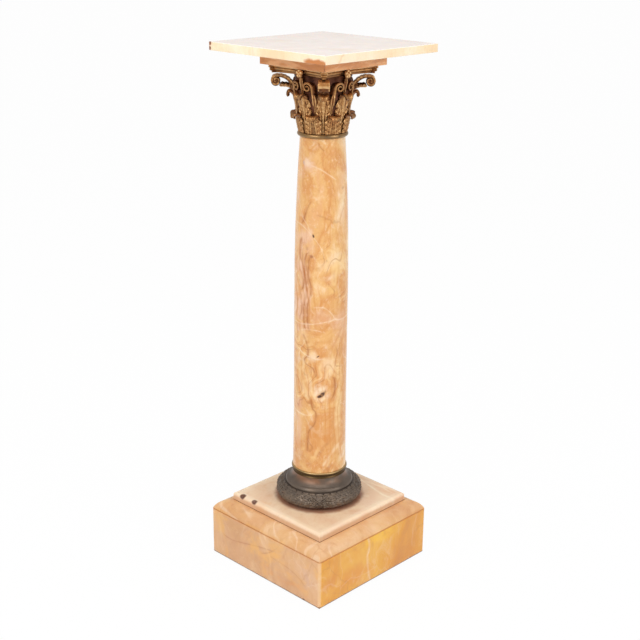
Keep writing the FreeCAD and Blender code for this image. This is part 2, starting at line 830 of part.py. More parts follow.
def make_leaves():
    """Eight upper leaves on the faces and corners, eight lower ones between them in front."""
    gap, thickness, lean = size("seat_gap"), size("leaf_thickness"), size("bell_lean")
    bell_foot = size("bell_foot_radius")
    across = thickness / math.cos(math.radians(lean))
    upper_foot = bell_foot + gap + across / 2
    lower_foot = upper_foot + across + gap
    lower_lean = size("lower_leaf_lean")
    boss_end = lower_foot + size("leaf_rivet_height") * math.tan(math.radians(lower_lean))
    upper = leaf("upper_leaf", upper_foot, lean)
    lower = leaf("lower_leaf", lower_foot, lower_lean, boss_end)
    height = value(level("bell"))
    for index in range(LEAVES_IN_A_ROW):
        keep_shape(f"upper_leaf_{index + 1}", upper, stand_at(index * LEAF_STEP, height))
        keep_shape(f"lower_leaf_{index + 1}", lower, stand_at((index + 0.5) * LEAF_STEP, height))


def scroll_bends(radius, step, thickness):
    """Half turns of shrinking radius, as a volute is drawn with compasses, down to the eye."""
    bends = []
    while radius > SCROLL_EYE * thickness:
        bends.append((radius, 180))
        radius -= step
    return bends


def broad(face, width):
    """A strip's face made into a solid of a given width, centred on the XZ plane."""
    half = FreeCAD.Vector(0, width / 2, 0)
    face.translate(-half)
    return face.extrude(half * 2)


def volute():
    """A corner volute in its diagonal plane: a stem that rises off the bell and ends in a scroll."""
    foot_height, thickness = size("volute_foot_height"), size("volute_thickness")
    foot_radius = bell_radius(foot_height) + size("seat_gap") + thickness
    lean = size("volute_lean")
    bends = [
        (size("volute_foot_run"),),
        (size("volute_rise_radius"), 90 - lean),
        (size("volute_level_run"),),
        *scroll_bends(size("volute_scroll_radius"), size("volute_scroll_step"), thickness),
    ]
    solid = broad(strip((foot_radius, foot_height), lean, thickness, bends), size("volute_width"))
    return add_rivet_seat(solid, value(ORNAMENT_RIVET_HEIGHT), foot_radius + thickness / 2)


def calyx_leaf():
    """The small leaf that reaches out from the bell under a corner volute."""
    foot_height, thickness = size("calyx_foot_height"), size("calyx_thickness")
    corner_in = thickness / 2 * math.cos(math.radians(size("calyx_lean")))
    foot_radius = bell_radius(foot_height + thickness) + size("seat_gap") + corner_in
    bends = [
        (size("calyx_foot_run"),),
        (size("calyx_bend_radius"), size("calyx_bend_angle")),
        (size("calyx_tip_run"),),
    ]
    return broad(strip((foot_radius, foot_height), size("calyx_lean"), thickness, bends), size("calyx_width"))


def helix_pair():
    """Two scrolls that rise beside the middle of a face and curl in to a stalk between them."""
    thickness, depth = size("helix_thickness"), size("helix_depth")
    scroll, rise = size("helix_scroll_radius"), size("helix_rise_radius")
    lean = -size("helix_lean")
    scroll_middle = size("helix_parting") / 2 + scroll + thickness / 2
    stem_across = scroll_middle + rise * math.cos(math.radians(lean))
    foot_height = size("helix_foot_height")
    top = size("bell_height") - size("seat_gap") - thickness / 2
    run = (top - foot_height - rise * (1 - math.sin(math.radians(lean)))) / math.cos(math.radians(lean))
    foot_across = stem_across + run * math.sin(math.radians(lean))
    bends = [(run,), (rise, 90 - lean), *scroll_bends(scroll, size("helix_scroll_step"), thickness)]
    left = broad(strip((-foot_across, foot_height), lean, thickness, bends), depth)
    right = left.mirror(FreeCAD.Vector(), FreeCAD.Vector(1, 0, 0))
    tie_half = size("helix_parting") / 2 + thickness / 2
    tie_foot = FreeCAD.Vector(-tie_half, -depth / 2, top - scroll - size("helix_tie_height") / 2)
    tie = Part.makeBox(2 * tie_half, depth, size("helix_tie_height"), tie_foot)
    stalk_half = size("helix_stalk_half_width")
    stalk_foot = FreeCAD.Vector(-stalk_half, -depth / 2, foot_height)
    stalk = Part.makeBox(2 * stalk_half, depth, tie_foot.z - foot_height, stalk_foot)
    pair = left.fuse([right, stalk, tie]).removeSplitter()
    back = size("bell_lip_radius") + size("seat_gap")
    pair = pair.rotated(FreeCAD.Vector(), UP, 90).translated(FreeCAD.Vector(back + depth / 2, 0, 0))
    return add_rivet_seat(pair, value(ORNAMENT_RIVET_HEIGHT), back + depth / 2)


def make_scrolls():
    height = value(level("bell"))
    corner, leaf_under, pair = volute(), calyx_leaf(), helix_pair()
    for index in range(FACES):
        face_angle = index * 360 / FACES
        keep_shape(f"corner_volute_{index + 1}", corner, stand_at(face_angle + DIAGONAL, height))
        keep_shape(f"calyx_leaf_{index + 1}", leaf_under, stand_at(face_angle + DIAGONAL, height))
        keep_shape(f"helix_pair_{index + 1}", pair, stand_at(face_angle, height))


def make_rivets():
    """Rivets from inside the bell: one into each leaf, each corner volute and each pair of scrolls."""
    leaf_height, ornament_height = size("leaf_rivet_height"), value(ORNAMENT_RIVET_HEIGHT)
    leaf_angles = [index * LEAF_STEP / 2 for index in range(2 * LEAVES_IN_A_ROW)]
    ornament_angles = [index * 180 / FACES for index in range(2 * FACES)]
    rivets = [rivet(leaf_height, angle) for angle in leaf_angles]
    rivets += [rivet(ornament_height, angle) for angle in ornament_angles]
    keep_shape("ornament_rivets", Part.makeCompound(rivets), stand_at(0, value(level("bell"))))


def rivet(height, angle):
    """One rivet on a level line out from the axis, its head just clear of the bell's sloping wall."""
    out = FreeCAD.Vector(1, 0, 0)
    slope = size("rivet_head_radius") * math.tan(math.radians(size("bell_lean")))
    head_top = bell_radius(height) - size("bell_wall") - slope - size("seat_gap")
    head_foot = FreeCAD.Vector(head_top - size("rivet_head_height"), 0, height)
    head = Part.makeCylinder(size("rivet_head_radius"), size("rivet_head_height"), head_foot, out)
    tip = bell_radius(height) + size("seat_gap") + size("rivet_bite")
    shank = Part.makeCylinder(size("rivet_radius"), tip - head_foot.x, head_foot, out)
    solid = head.fuse(shank).removeSplitter().Solids[0]
    solid.rotate(FreeCAD.Vector(), UP, angle)
    return solid


def make_fleurons():
    """A rosette of six petals round a raised heart, in the middle of each side of the abacus."""
    for index in range(FACES):
        body = new_body(f"fleuron_{index + 1}")
        petal = new_sketch(body, "petal", "XY_Plane")
        draw_circle(petal, "sizes.fleuron_petal_radius", "sizes.fleuron_radius - sizes.fleuron_petal_radius")
        polar(body, pad(body, petal, "sizes.fleuron_petal_height"), PETALS)
        heart = new_sketch(body, "heart", "XY_Plane")
        draw_circle(heart, "sizes.fleuron_heart_radius")
        pad(body, heart, "sizes.fleuron_heart_height")
        angle = index * 360 / FACES
        body.Placement.Rotation = FreeCAD.Rotation(UP, angle) * FreeCAD.Rotation(FreeCAD.Vector(0, 1, 0), 90)
        out = "(sizes.abacus_waist + 2 * sizes.seat_gap)"
        body.setExpression("Placement.Base.x", f"{out} * cos({angle})")
        body.setExpression("Placement.Base.y", f"{out} * sin({angle})")
        lift(body, f"{level('abacus')} + ({ABACUS_HEIGHT}) / 2")


# ---------------------------------------------------------------- build, check and write


def build():
    make_plinth_block()
    make_plinth_plate()
    make_foot_casting()
    make_shaft_ring()
    make_shaft()
    make_astragal()
    make_bell()
    make_abacus()
    make_abacus_screws()
    make_neck_slab()
    make_top_slab()
    make_fasteners()
    make_leaves()
    make_scrolls()
    make_rivets()
    make_fleurons()
    doc.recompute()


def check():
    """Stop if any feature failed or any sub-part came out empty or invalid."""
    for thing in doc.Objects:
        if "Invalid" in thing.State or "Error" in thing.State:
            raise RuntimeError(f"{thing.Label} failed: {thing.State}")
    for label, piece in pieces.items():
        shape = piece.Shape
        if shape.isNull() or not shape.isValid() or not shape.Solids:
            raise RuntimeError(f"{label} has no valid solid")


def write():
    for label, piece in pieces.items():
        piece.Shape.exportStep(f"parts/{label}.step")
        box = piece.Shape.BoundBox
        spans = f"{box.XLength:.1f} x {box.YLength:.1f} x {box.ZLength:.1f}"
        print(f"{label}: {len(piece.Shape.Solids)} solid, {piece.Shape.Volume / 1000:.2f} cm3, {spans}")


build()
check()
write()
print(f"{len(pieces)} sub-parts, {value(level('top')) + size('top_height'):.1f} mm high")
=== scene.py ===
"""Pedestal column stand, dressed: polished onyx stones with a cast bronze capital, ring and foot.

Lengths are in millimetres until add_piece() writes a mesh, and in metres for lamps and the camera.
Marks in the stone are placed in millimetres by across, depth and height: across runs to the right past
the front corner, depth comes out through it, and height is measured from the floor. Colours are display
values from 0 to 255. A noise is given as its scale, detail, roughness and distortion.
"""

import math

import bpy
import numpy as np
from mathutils import Matrix, Vector, noise


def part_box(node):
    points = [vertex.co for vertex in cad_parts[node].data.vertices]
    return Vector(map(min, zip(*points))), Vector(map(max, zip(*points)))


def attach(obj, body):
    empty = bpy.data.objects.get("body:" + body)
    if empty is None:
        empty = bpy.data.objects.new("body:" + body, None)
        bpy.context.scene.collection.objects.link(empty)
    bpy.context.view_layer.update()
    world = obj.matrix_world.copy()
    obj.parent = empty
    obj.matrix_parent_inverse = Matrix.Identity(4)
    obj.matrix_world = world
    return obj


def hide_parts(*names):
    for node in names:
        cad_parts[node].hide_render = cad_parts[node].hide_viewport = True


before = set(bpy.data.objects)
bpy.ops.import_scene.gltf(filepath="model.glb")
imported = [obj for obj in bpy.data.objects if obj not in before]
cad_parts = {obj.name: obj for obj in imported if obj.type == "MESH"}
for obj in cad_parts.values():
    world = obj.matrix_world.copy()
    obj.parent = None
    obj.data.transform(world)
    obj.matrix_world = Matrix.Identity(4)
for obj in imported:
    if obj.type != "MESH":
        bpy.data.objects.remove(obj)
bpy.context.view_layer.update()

MM = 0.001
DIAGONAL = math.sqrt(0.5)
SIDES = [0.0, 90.0, 180.0, 270.0]
CORNERS = [45.0, 135.0, 225.0, 315.0]

# ---------------------------------------------------------------- sizes read from the frame


def extent(node):
    """Half side, foot height and head height of a node."""
    low, high = np.array(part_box(node)) / MM
    return float(high[0]), float(low[2]), float(high[2])


def foot_of(node):
    return extent(node)[1]


def head_of(node):
    return extent(node)[2]


def turned_profile(node, inner_radius):
    """The outside of a turned node from the bottom up: rows of (height, radius), steps kept."""
    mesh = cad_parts[node].data
    places = np.empty(len(mesh.vertices) * 3, np.float32)
    mesh.vertices.foreach_get("co", places)
    places = places.reshape(-1, 3).astype(float) / MM
    radii = np.hypot(places[:, 0], places[:, 1])
    outside = radii > inner_radius
    heights, radii = np.round(places[outside, 2], 2), radii[outside]
    rows = []
    for height in np.unique(heights):
        here = radii[heights == height]
        ends = [here.max()] if np.ptp(here) < 0.2 else [here.min(), here.max()]
        if rows and abs(ends[-1] - rows[-1][1]) < abs(ends[0] - rows[-1][1]):
            ends.reverse()
        rows += [(float(height), float(radius)) for radius in ends]
    return np.array(rows)


# ---------------------------------------------------------------- node trees


def linear(colour):
    """A colour in display values, as linear light with alpha."""
    shares = [channel / 255 for channel in colour]
    return tuple(c / 12.92 if c < 0.04045 else ((c + 0.055) / 1.055) ** 2.4 for c in shares) + (1.0,)


class Nodes:
    """A node tree under construction: each method adds nodes and returns the output they end in."""

    def __init__(self, tree):
        self.tree = tree

    def node(self, kind, links=(), **settings):
        made = self.tree.nodes.new(kind)
        for key, setting in settings.items():
            setattr(made, key, setting)
        for key, source in dict(links).items():
            self.feed(made.inputs[key], source)
        return made

    def feed(self, socket, source):
        if isinstance(source, bpy.types.NodeSocket):
            self.tree.links.new(source, socket)
        elif source is not None:
            socket.default_value = source

    def math(self, operation, first, second=None, third=None, clamp=False):
        links = {0: first, 1: second, 2: third}
        return self.node("ShaderNodeMath", links, operation=operation, use_clamp=clamp).outputs[0]

    def seen_by(self, first, *others):
        """1 for rays of these kinds."""
        path = self.node("ShaderNodeLightPath").outputs
        share = path[first]
        for kind in others:
            share = self.math("MAXIMUM", share, path[kind])
        return share

    def show(self, share, first, second):
        """Show one shader, and another in its place as far as the share says."""
        made = self.node("ShaderNodeMixShader", {0: share, 1: first, 2: second})
        end = next(node for node in self.tree.nodes if node.type.startswith("OUTPUT"))
        self.feed(end.inputs["Surface"], made.outputs[0])


class Finish(Nodes):
    """A material under construction; its tone is the colour laid so far."""

    def __init__(self, name, roughness=0.3, metallic=0.0):
        self.material = bpy.data.materials.new(name)
        self.material.use_nodes = True
        super().__init__(self.material.node_tree)
        self.shader = self.tree.nodes["Principled BSDF"]
        self.shader.inputs["Roughness"].default_value = roughness
        self.shader.inputs["Metallic"].default_value = metallic
        self.place = self.node("ShaderNodeTexCoord").outputs["Object"]
        self.x, self.y, self.height = self.split(self.stretch(self.place, (1 / MM,) * 3))
        self.across = self.math("MULTIPLY", self.math("ADD", self.x, self.y), DIAGONAL)
        self.depth = self.math("MULTIPLY", self.math("SUBTRACT", self.x, self.y), DIAGONAL)
        self.tone = None

    def vector_math(self, operation, first, second=None):
        links = {0: first, 1: second} if second is not None else {0: first}
        return self.node("ShaderNodeVectorMath", links, operation=operation)

    def split(self, vector):
        return list(self.node("ShaderNodeSeparateXYZ", {0: vector}).outputs)

    def stretch(self, place, scale):
        return self.vector_math("MULTIPLY", place, scale).outputs[0]

    def warp(self, place, scale, amount, detail=2.0):
        """The place shifted by cloudy noise, so that what is drawn there runs in natural curves."""
        cloud = self.node("ShaderNodeTexNoise", {"Vector": self.place, "Scale": scale, "Detail": detail})
        centred = self.vector_math("SUBTRACT", cloud.outputs["Color"], (0.5, 0.5, 0.5)).outputs[0]
        shift = self.stretch(centred, (amount,) * 3)
        return self.vector_math("ADD", place, shift).outputs[0]

    def noise(self, scale, detail=3.0, roughness=0.5, distortion=0.0, at=None):
        links = {"Vector": at or self.place, "Scale": scale, "Detail": detail,
                 "Roughness": roughness, "Distortion": distortion}
        return self.node("ShaderNodeTexNoise", links).outputs["Fac"]

    def cells(self, scale, at=None):
        links = {"Vector": at or self.place, "Scale": scale}
        return self.node("ShaderNodeTexVoronoi", links, feature="DISTANCE_TO_EDGE").outputs["Distance"]

    def line(self, value, factor, offset):
        return self.math("MULTIPLY_ADD", value, factor, offset)

    def wave(self, value, pitch):
        return self.math("SINE", self.math("MULTIPLY", value, pitch))

    def sides(self, operation):
        """How far out along X and along Y, put together by an operation."""
        return self.math(operation, self.math("ABSOLUTE", self.x), self.math("ABSOLUTE", self.y))

    def smooth(self, value, start, end):
        """0 at start and before, 1 at end and past it, smoothly between; start may be the larger."""
        made = self.node("ShaderNodeMapRange", {0: value}, interpolation_type="SMOOTHSTEP")
        low, high, first, last = (start, end, 0.0, 1.0) if start < end else (end, start, 1.0, 0.0)
        for key, number in zip(("From Min", "From Max", "To Min", "To Max"), (low, high, first, last)):
            made.inputs[key].default_value = number
        return made.outputs[0]

    def spots(self, cloud, start, end):
        """Share of the places where a noise passes from start to end."""
        return self.smooth(self.noise(*cloud), start, end)

    def up(self, start, end):
        """Share of what lies past a height."""
        return self.smooth(self.height, start, end)

    def left(self, start, end):
        """Share of what lies on the side that faces the left."""
        return self.smooth(self.math("MULTIPLY", self.y, -1.0), start, end)

    def both(self, *shares):
        share = shares[0]
        for other in shares[1:]:
            share = self.math("MULTIPLY", share, other)
        return share

    def ramp(self, value, *stops):
        """Colours along a value: each stop is a place from 0 to 1 and a colour."""
        made = self.node("ShaderNodeValToRGB", {0: value})
        points = made.color_ramp.elements
        while len(points) < len(stops):
            points.new(0.5)
        for point, (position, colour) in zip(points, stops):
            point.position = position
            point.color = linear(colour)
        return made.outputs["Color"]

    def mix(self, share, first, second):
        made = self.node("ShaderNodeMix", data_type="RGBA")
        self.feed(made.inputs[0], share)
        for socket, source in ((6, first), (7, second)):
            known = isinstance(source, bpy.types.NodeSocket)
            self.feed(made.inputs[socket], source if known else linear(source))
        return made.outputs[2]

    def lay(self, share, colour, strength=1.0):
        """Lay a colour over the tone so far where the share says."""
        if strength < 1.0:
            share = self.math("MULTIPLY", share, strength)
        self.tone = self.mix(share, self.tone, colour)

    def draw_on(self, first, second):
        """Choose the two directions, in millimetres, that patches and veins are placed by."""
        flat = self.node("ShaderNodeCombineXYZ", {0: first, 1: second, 2: 0.0}).outputs[0]
        self.sheet = self.warp(flat, 16.0, 6.0, 4.0)
        self.sheet_axes = self.split(self.sheet)
        self.ragged = self.noise(45.0, 5.0, 0.6)

    def patch(self, middle, reach, tilt=0.0, fade=0.5, ragged=0.8):
        """Share of an oval patch on the sheet with a ragged, fading border; tilt is in degrees."""
        links = {"Vector": self.sheet, "Location": (*middle, 0.0), "Scale": (*reach, 1.0),
                 "Rotation": (0.0, 0.0, math.radians(tilt))}
        inside = self.node("ShaderNodeMapping", links, vector_type="TEXTURE").outputs[0]
        out = self.vector_math("LENGTH", inside).outputs["Value"]
        out = self.math("ADD", out, self.line(self.ragged, ragged, -ragged / 2))
        return self.smooth(out, 1.0, 1.0 - fade)

    def tint(self, within, middle, reach, colour, strength, fade=0.9, ragged=0.8, tilt=0.0):
        """Lay a colour over a patch, inside a share of the stone or, for None, all through it."""
        share = self.patch(middle, reach, tilt, fade, ragged)
        self.lay(share if within is None else self.both(within, share), colour, strength)

    def vein(self, points, width, fade=8.0, level=False):
        """Share of a thin vein through points of the sheet, rising from first to last.

        A level vein's points run to the right instead. It thins and thickens and fades at both ends.
        """
        run, side = (0, 1) if level else (1, 0)
        runs = [point[run] for point in points]
        sides = [point[side] for point in points]
        first, span = runs[0], runs[-1] - runs[0]
        least, spread = min(sides), max(max(sides) - min(sides), 1.0)
        place = self.sheet_axes[run]
        along = self.math("MULTIPLY_ADD", place, 1 / span, -first / span, clamp=True)
        curve = self.node("ShaderNodeFloatCurve", {"Value": along})
        knots = curve.mapping.curves[0].points
        for _ in points[2:]:
            knots.new(0.5, 0.5)
        for knot, position, value in zip(knots, runs, sides):
            knot.location = ((position - first) / span, (value - least) / spread)
        curve.mapping.update()
        middle = self.line(curve.outputs[0], spread, least)
        off = self.math("ABSOLUTE", self.math("SUBTRACT", self.sheet_axes[side], middle))
        off = self.math("DIVIDE", off, self.line(self.ragged, 2.4, -0.4))
        ends = self.both(self.smooth(place, first - fade / 2, first + fade / 2),
                         self.smooth(place, first + span + fade / 2, first + span - fade / 2))
        return self.both(self.smooth(off, width, width * 0.2), ends)

    def draw_vein(self, points, width, colour, strength, level=False, within=1.0):
        """A vein with a soft stain along it, broken up by the stone's own mottling."""
        core = self.vein(points, width, level=level)
        stain = self.vein(points, width * 3.2, level=level)
        broken = self.smooth(self.ragged, 0.4, 0.54)
        self.lay(self.both(stain, within), colour, strength * 0.45)
        self.lay(self.both(core, self.line(broken, 0.8, 0.2), within), colour, strength)

    def pit(self, place, radius):
        """Share of a chip or pit about a place in the stone."""
        middle = tuple(part * MM for part in place)
        away = self.vector_math("DISTANCE", self.place, middle).outputs["Value"]
        away = self.math("MULTIPLY", away, self.line(self.ragged, 1.0, 0.5))
        return self.smooth(away, radius * MM, radius * MM * 0.6)

    def relief(self):
        """The height that a mesh gives each of its points, 0 to 1."""
        return self.node("ShaderNodeAttribute", attribute_name="relief").outputs["Fac"]

    def colour(self, source):
        self.feed(self.shader.inputs["Base Color"], source)
        return self.material

    def bump(self, height, distance, strength):
        links = {"Height": height, "Distance": distance, "Strength": strength}
        self.feed(self.shader.inputs["Normal"], self.node("ShaderNodeBump", links).outputs["Normal"])

    def close(self, sheen, change, least, grain, distance, strength):
        """Colour by the tone, with roughness that varies by one noise and bumps by another."""
        self.feed(self.shader.inputs["Roughness"], self.line(self.noise(*sheen), change, least))
        self.bump(self.noise(*grain), distance, strength)
        return self.colour(self.tone)


# ---------------------------------------------------------------- onyx

CREAM = (246, 214, 170)
PALE = (252, 230, 200)
HONEY = (233, 181, 114)
AMBER = (220, 154, 88)
ORANGE = (216, 142, 66)
ROSE = (226, 172, 138)
PINK = (238, 196, 168)
LILAC = (206, 168, 150)
VEIN_BROWN = (182, 110, 54)
CRACK_WHITE = (252, 230, 198)
PIT_BROWN = (70, 32, 18)


def onyx(name, clouds, scale=11.0, grain=(1.0, 1.0, 0.6), fleck=0.35):
    """Polished onyx: clouds of colour that run with the grain, mottled finer and finer."""
    finish = Finish(name, roughness=0.2)
    finish.draw_on(finish.across, finish.height)
    finish.along = finish.stretch(finish.warp(finish.place, 6.0, 0.06), grain)
    cloud = finish.noise(scale, 6.0, 0.6, 0.8, finish.along)
    finish.tone = finish.ramp(finish.smooth(cloud, 0.28, 0.72), *clouds)
    mottle = finish.noise(scale * 5, 6.0, 0.65, 0.9, finish.along)
    finish.lay(finish.smooth(mottle, 0.52, 0.72), PALE, fleck)
    finish.lay(finish.smooth(mottle, 0.48, 0.3), AMBER, fleck)
    grit = finish.noise(scale * 18, 5.0, 0.7, 0.4, finish.along)
    finish.lay(finish.smooth(grit, 0.54, 0.7), PALE, fleck * 0.7)
    finish.lay(finish.smooth(grit, 0.46, 0.32), VEIN_BROWN, fleck * 0.5)
    return finish


def add_hair_veins(finish, scale, width, colour, strength, shown=(0.5, 0.62)):
    """A net of thin veins, broken up so that only stretches of it show."""
    net = finish.cells(scale, finish.warp(finish.along, 22.0, 0.035, 5.0))
    line = finish.smooth(net, width, 0.0)
    finish.lay(finish.both(line, finish.spots((scale * 0.8, 2.0), *shown)), colour, strength)


def finish_stone(finish):
    """Speckle, then the polish: nearly even gloss over faint waves."""
    finish.lay(finish.spots((900.0, 2.0), 0.55, 0.75), VEIN_BROWN, 0.14)
    for key, value in (("Weight", 0.08), ("Radius", (0.012, 0.007, 0.004)), ("Scale", 1.0)):
        finish.shader.inputs["Subsurface " + key].default_value = value
    return finish.close((30.0, 4.0), 0.14, 0.13, (60.0, 3.0), 0.0004, 0.3)


SHAFT_DARK_VEINS = [
    [(-26, 266), (-24, 293), (-22, 309), (-10, 333), (-8, 351), (-15, 362), (-19, 381)],
    [(-9, 433), (-16, 451), (-33, 465), (-26, 480), (-28, 499), (-36, 520)],
    [(-37, 750), (-31, 770), (-22, 792)],
    [(-39, 612), (-34, 650), (-42, 690), (-40, 717)],
    [(-31, 530), (-35, 570), (-29, 612), (-33, 660), (-26, 690)],
    [(-24, 530), (-28, 575), (-21, 616), (-26, 650), (-21, 683)],
    [(22, 381), (29, 398), (30, 412), (21, 431)],
    [(2, 892), (-4, 898), (-8, 906)],
]
SHAFT_LIGHT_VEINS = [
    [(-51, 748), (-38, 744), (-25, 732), (-12, 716), (-2, 701), (4, 684)],
    [(-14, 581), (5, 580), (14, 574), (24, 562), (31, 553), (44, 551), (56, 554)],
    [(-54, 541), (-30, 543), (-5, 547), (22, 552), (30, 554)],
    [(-20, 862), (-4, 856), (10, 847), (24, 836)],
    [(-54, 350), (-34, 346), (-14, 352)],
    [(-40, 528), (-20, 532), (0, 529)],
    [(-48, 492), (-22, 474), (6, 470)],
]
# middle, reach, colour, strength, fade, raggedness and tilt of each cloud in the shaft
SHAFT_CLOUDS = [
    ((-32, 716), (24, 46), PINK, 0.6, 0.9, 1.2),
    ((-36, 600), (22, 110), PINK, 0.6, 0.8, 1.2),
    ((34, 672), (18, 34), (244, 204, 140), 0.6, 0.9, 0.9),
    ((14, 455), (26, 34), CREAM, 0.75, 0.8, 1.4),
    ((-12, 478), (20, 18), PALE, 0.6, 0.8, 1.4),
    ((4, 396), (30, 24), PALE, 0.75, 0.8, 1.4, 35),
    ((44, 470), (12, 48), ORANGE, 0.4),
    ((34, 540), (20, 60), PINK, 0.5, 0.9, 1.2),
    ((40, 800), (22, 110), (236, 184, 140), 0.5, 0.9, 1.2),
    ((-46, 840), (14, 90), PINK, 0.5),
    ((-44, 252), (14, 16), CRACK_WHITE, 0.6, 0.8, 1.6),
    ((-28, 866), (22, 20), PINK, 0.8, 0.9, 2.0),
    ((-30, 868), (14, 12), PALE, 0.4, 0.9, 2.4),
    ((-36, 866), (3, 9), LILAC, 0.8, 0.6, 1.2),
    ((36, 380), (10, 160), (248, 214, 156), 0.8, 0.9, 1.6),
    ((-44, 340), (10, 120), PINK, 0.5, 0.9, 1.4),
    ((20, 640), (18, 14), PALE, 0.5, 0.9, 1.8),
    ((10, 290), (40, 60), ORANGE, 0.4, 0.9, 1.2, -40),
    ((2, 268), (7, 60), (190, 118, 64), 0.55, 0.9, 2.0, -38),
    ((26, 262), (5, 50), CREAM, 0.6, 0.9, 2.0, -38),
    ((-30, 420), (20, 40), AMBER, 0.5, 0.9, 1.2),
    ((6, 560), (34, 34), ROSE, 0.45, 0.9, 1.4),
    ((24, 615), (14, 26), (246, 208, 132), 0.6, 0.9, 1.6, 20),
]
SHAFT_HOLLOWS = [((-1, 389), 4.5), ((5, 395), 4.5), ((11, 400), 5.0)]
SHAFT_STAINS = [((5, 395), (11, 5), 42), ((-2, 390), (6, 4), 20), ((-17, 725), (2.6, 5), 10),
                ((-5, 477), (6, 2.2), 35), ((-22, 383), (5, 2), 30)]
SHAFT_SPOTS = [((40, 818), (4, 6)), ((9, 676), (3.5, 6)), ((-21, 684), (6, 5)), ((-30, 700), (5, 8))]


def shaft_place(mark, radius):
    """X, Y, Z of a mark on the front of the shaft, where it has this radius."""
    across, height = mark
    depth = math.sqrt(radius ** 2 - across ** 2)
    return ((across + depth) * DIAGONAL, (across - depth) * DIAGONAL, height)


def make_shaft_onyx():
    stops = [(0.0, CREAM), (0.3, HONEY), (0.55, AMBER), (0.8, HONEY), (1.0, (230, 172, 116))]
    finish = onyx("shaft_onyx", stops, fleck=0.42)
    lay, both, smooth = finish.lay, finish.both, finish.smooth
    for cloud in SHAFT_CLOUDS:
        finish.tint(None, *cloud)
    swirl = finish.line(finish.noise(12.0, 3.0, at=finish.along), 60.0, finish.sheet_axes[0])
    rings = smooth(finish.wave(swirl, 0.6), 0.2, 1.0)
    lay(both(rings, finish.spots((8.0, 2.0), 0.44, 0.6), finish.up(720.0, 560.0)), ORANGE, 0.5)
    loops = finish.wave(swirl, 0.95)
    agate = finish.patch((-38, 622), (24, 118), fade=0.5, ragged=0.9)
    lay(both(smooth(loops, 0.1, -1.0), agate), PINK, 0.5)
    lay(both(smooth(loops, 0.55, 1.0), agate), (190, 124, 82), 0.5)
    contour = finish.wave(finish.noise(11.0, 2.5, 0.5, at=finish.along), 85.0)
    shown = both(finish.spots((13.0, 2.0), 0.46, 0.6), finish.up(830.0, 640.0))
    lay(both(smooth(contour, 0.82, 1.0), shown), VEIN_BROWN, 0.45)
    lay(both(smooth(contour, -0.5, -1.0), shown), (248, 212, 150), 0.45)
    for points in SHAFT_DARK_VEINS:
        finish.draw_vein(points, 2.1, VEIN_BROWN, 0.7)
    for points in SHAFT_LIGHT_VEINS:
        finish.draw_vein(points, 1.3, CRACK_WHITE, 0.38, level=True)
    add_hair_veins(finish, 9.0, 0.02, CRACK_WHITE, 0.3)
    add_hair_veins(finish, 14.0, 0.03, VEIN_BROWN, 0.3, (0.54, 0.64))
    front = smooth(finish.depth, 0.0, 10.0)
    for middle, reach in SHAFT_SPOTS:
        finish.tint(front, middle, reach, (160, 92, 56), 0.7, 0.8, 1.2)
    for middle, reach, tilt in SHAFT_STAINS:
        finish.tint(front, middle, [1.7 * each for each in reach], AMBER, 0.5, 0.7, 1.0, tilt)
        finish.tint(front, middle, reach, PIT_BROWN, 0.92, 0.45, 1.0, tilt)
    return finish_stone(finish)


BLOCK_LEFT_VEINS = [[(-206, 62), (-194, 56), (-160, 62), (-120, 74), (-92, 82)],
                    [(-120, 60), (-96, 80), (-78, 107)], [(-100, 66), (-60, 58), (-30, 40)]]
BLOCK_RIGHT_VEIN = [(106, 8), (101, 40), (99, 62), (102, 84), (96, 112)]
BLOCK_RIGHT_CLOUDS = [((122, 100), (62, 30), (246, 192, 62), 0.85),
                      ((60, 40), (70, 34), (224, 148, 68), 0.7, 0.8),
                      ((24, 50), (30, 70), (216, 138, 66), 0.5)]
BLOCK_LEFT_CLOUDS = [((-112, 70), (64, 40), (238, 180, 100), 0.7, 0.9, 1.8, 10),
                     ((-24, 60), (20, 40), LILAC, 0.4),
                     ((-80, 32), (60, 16), (232, 160, 84), 0.6, 0.9, 1.6)]
BLOCK_GOLD = [(0.3, (212, 136, 50)), (0.52, (228, 158, 44)), (0.7, (236, 178, 68))]
BLOCK_TAN = [(0.3, (204, 150, 102)), (0.5, (220, 170, 122)), (0.72, (234, 192, 148))]
BLOCK_WARM = [(0.3, (210, 152, 100)), (0.5, (226, 176, 124)), (0.7, (238, 200, 156))]


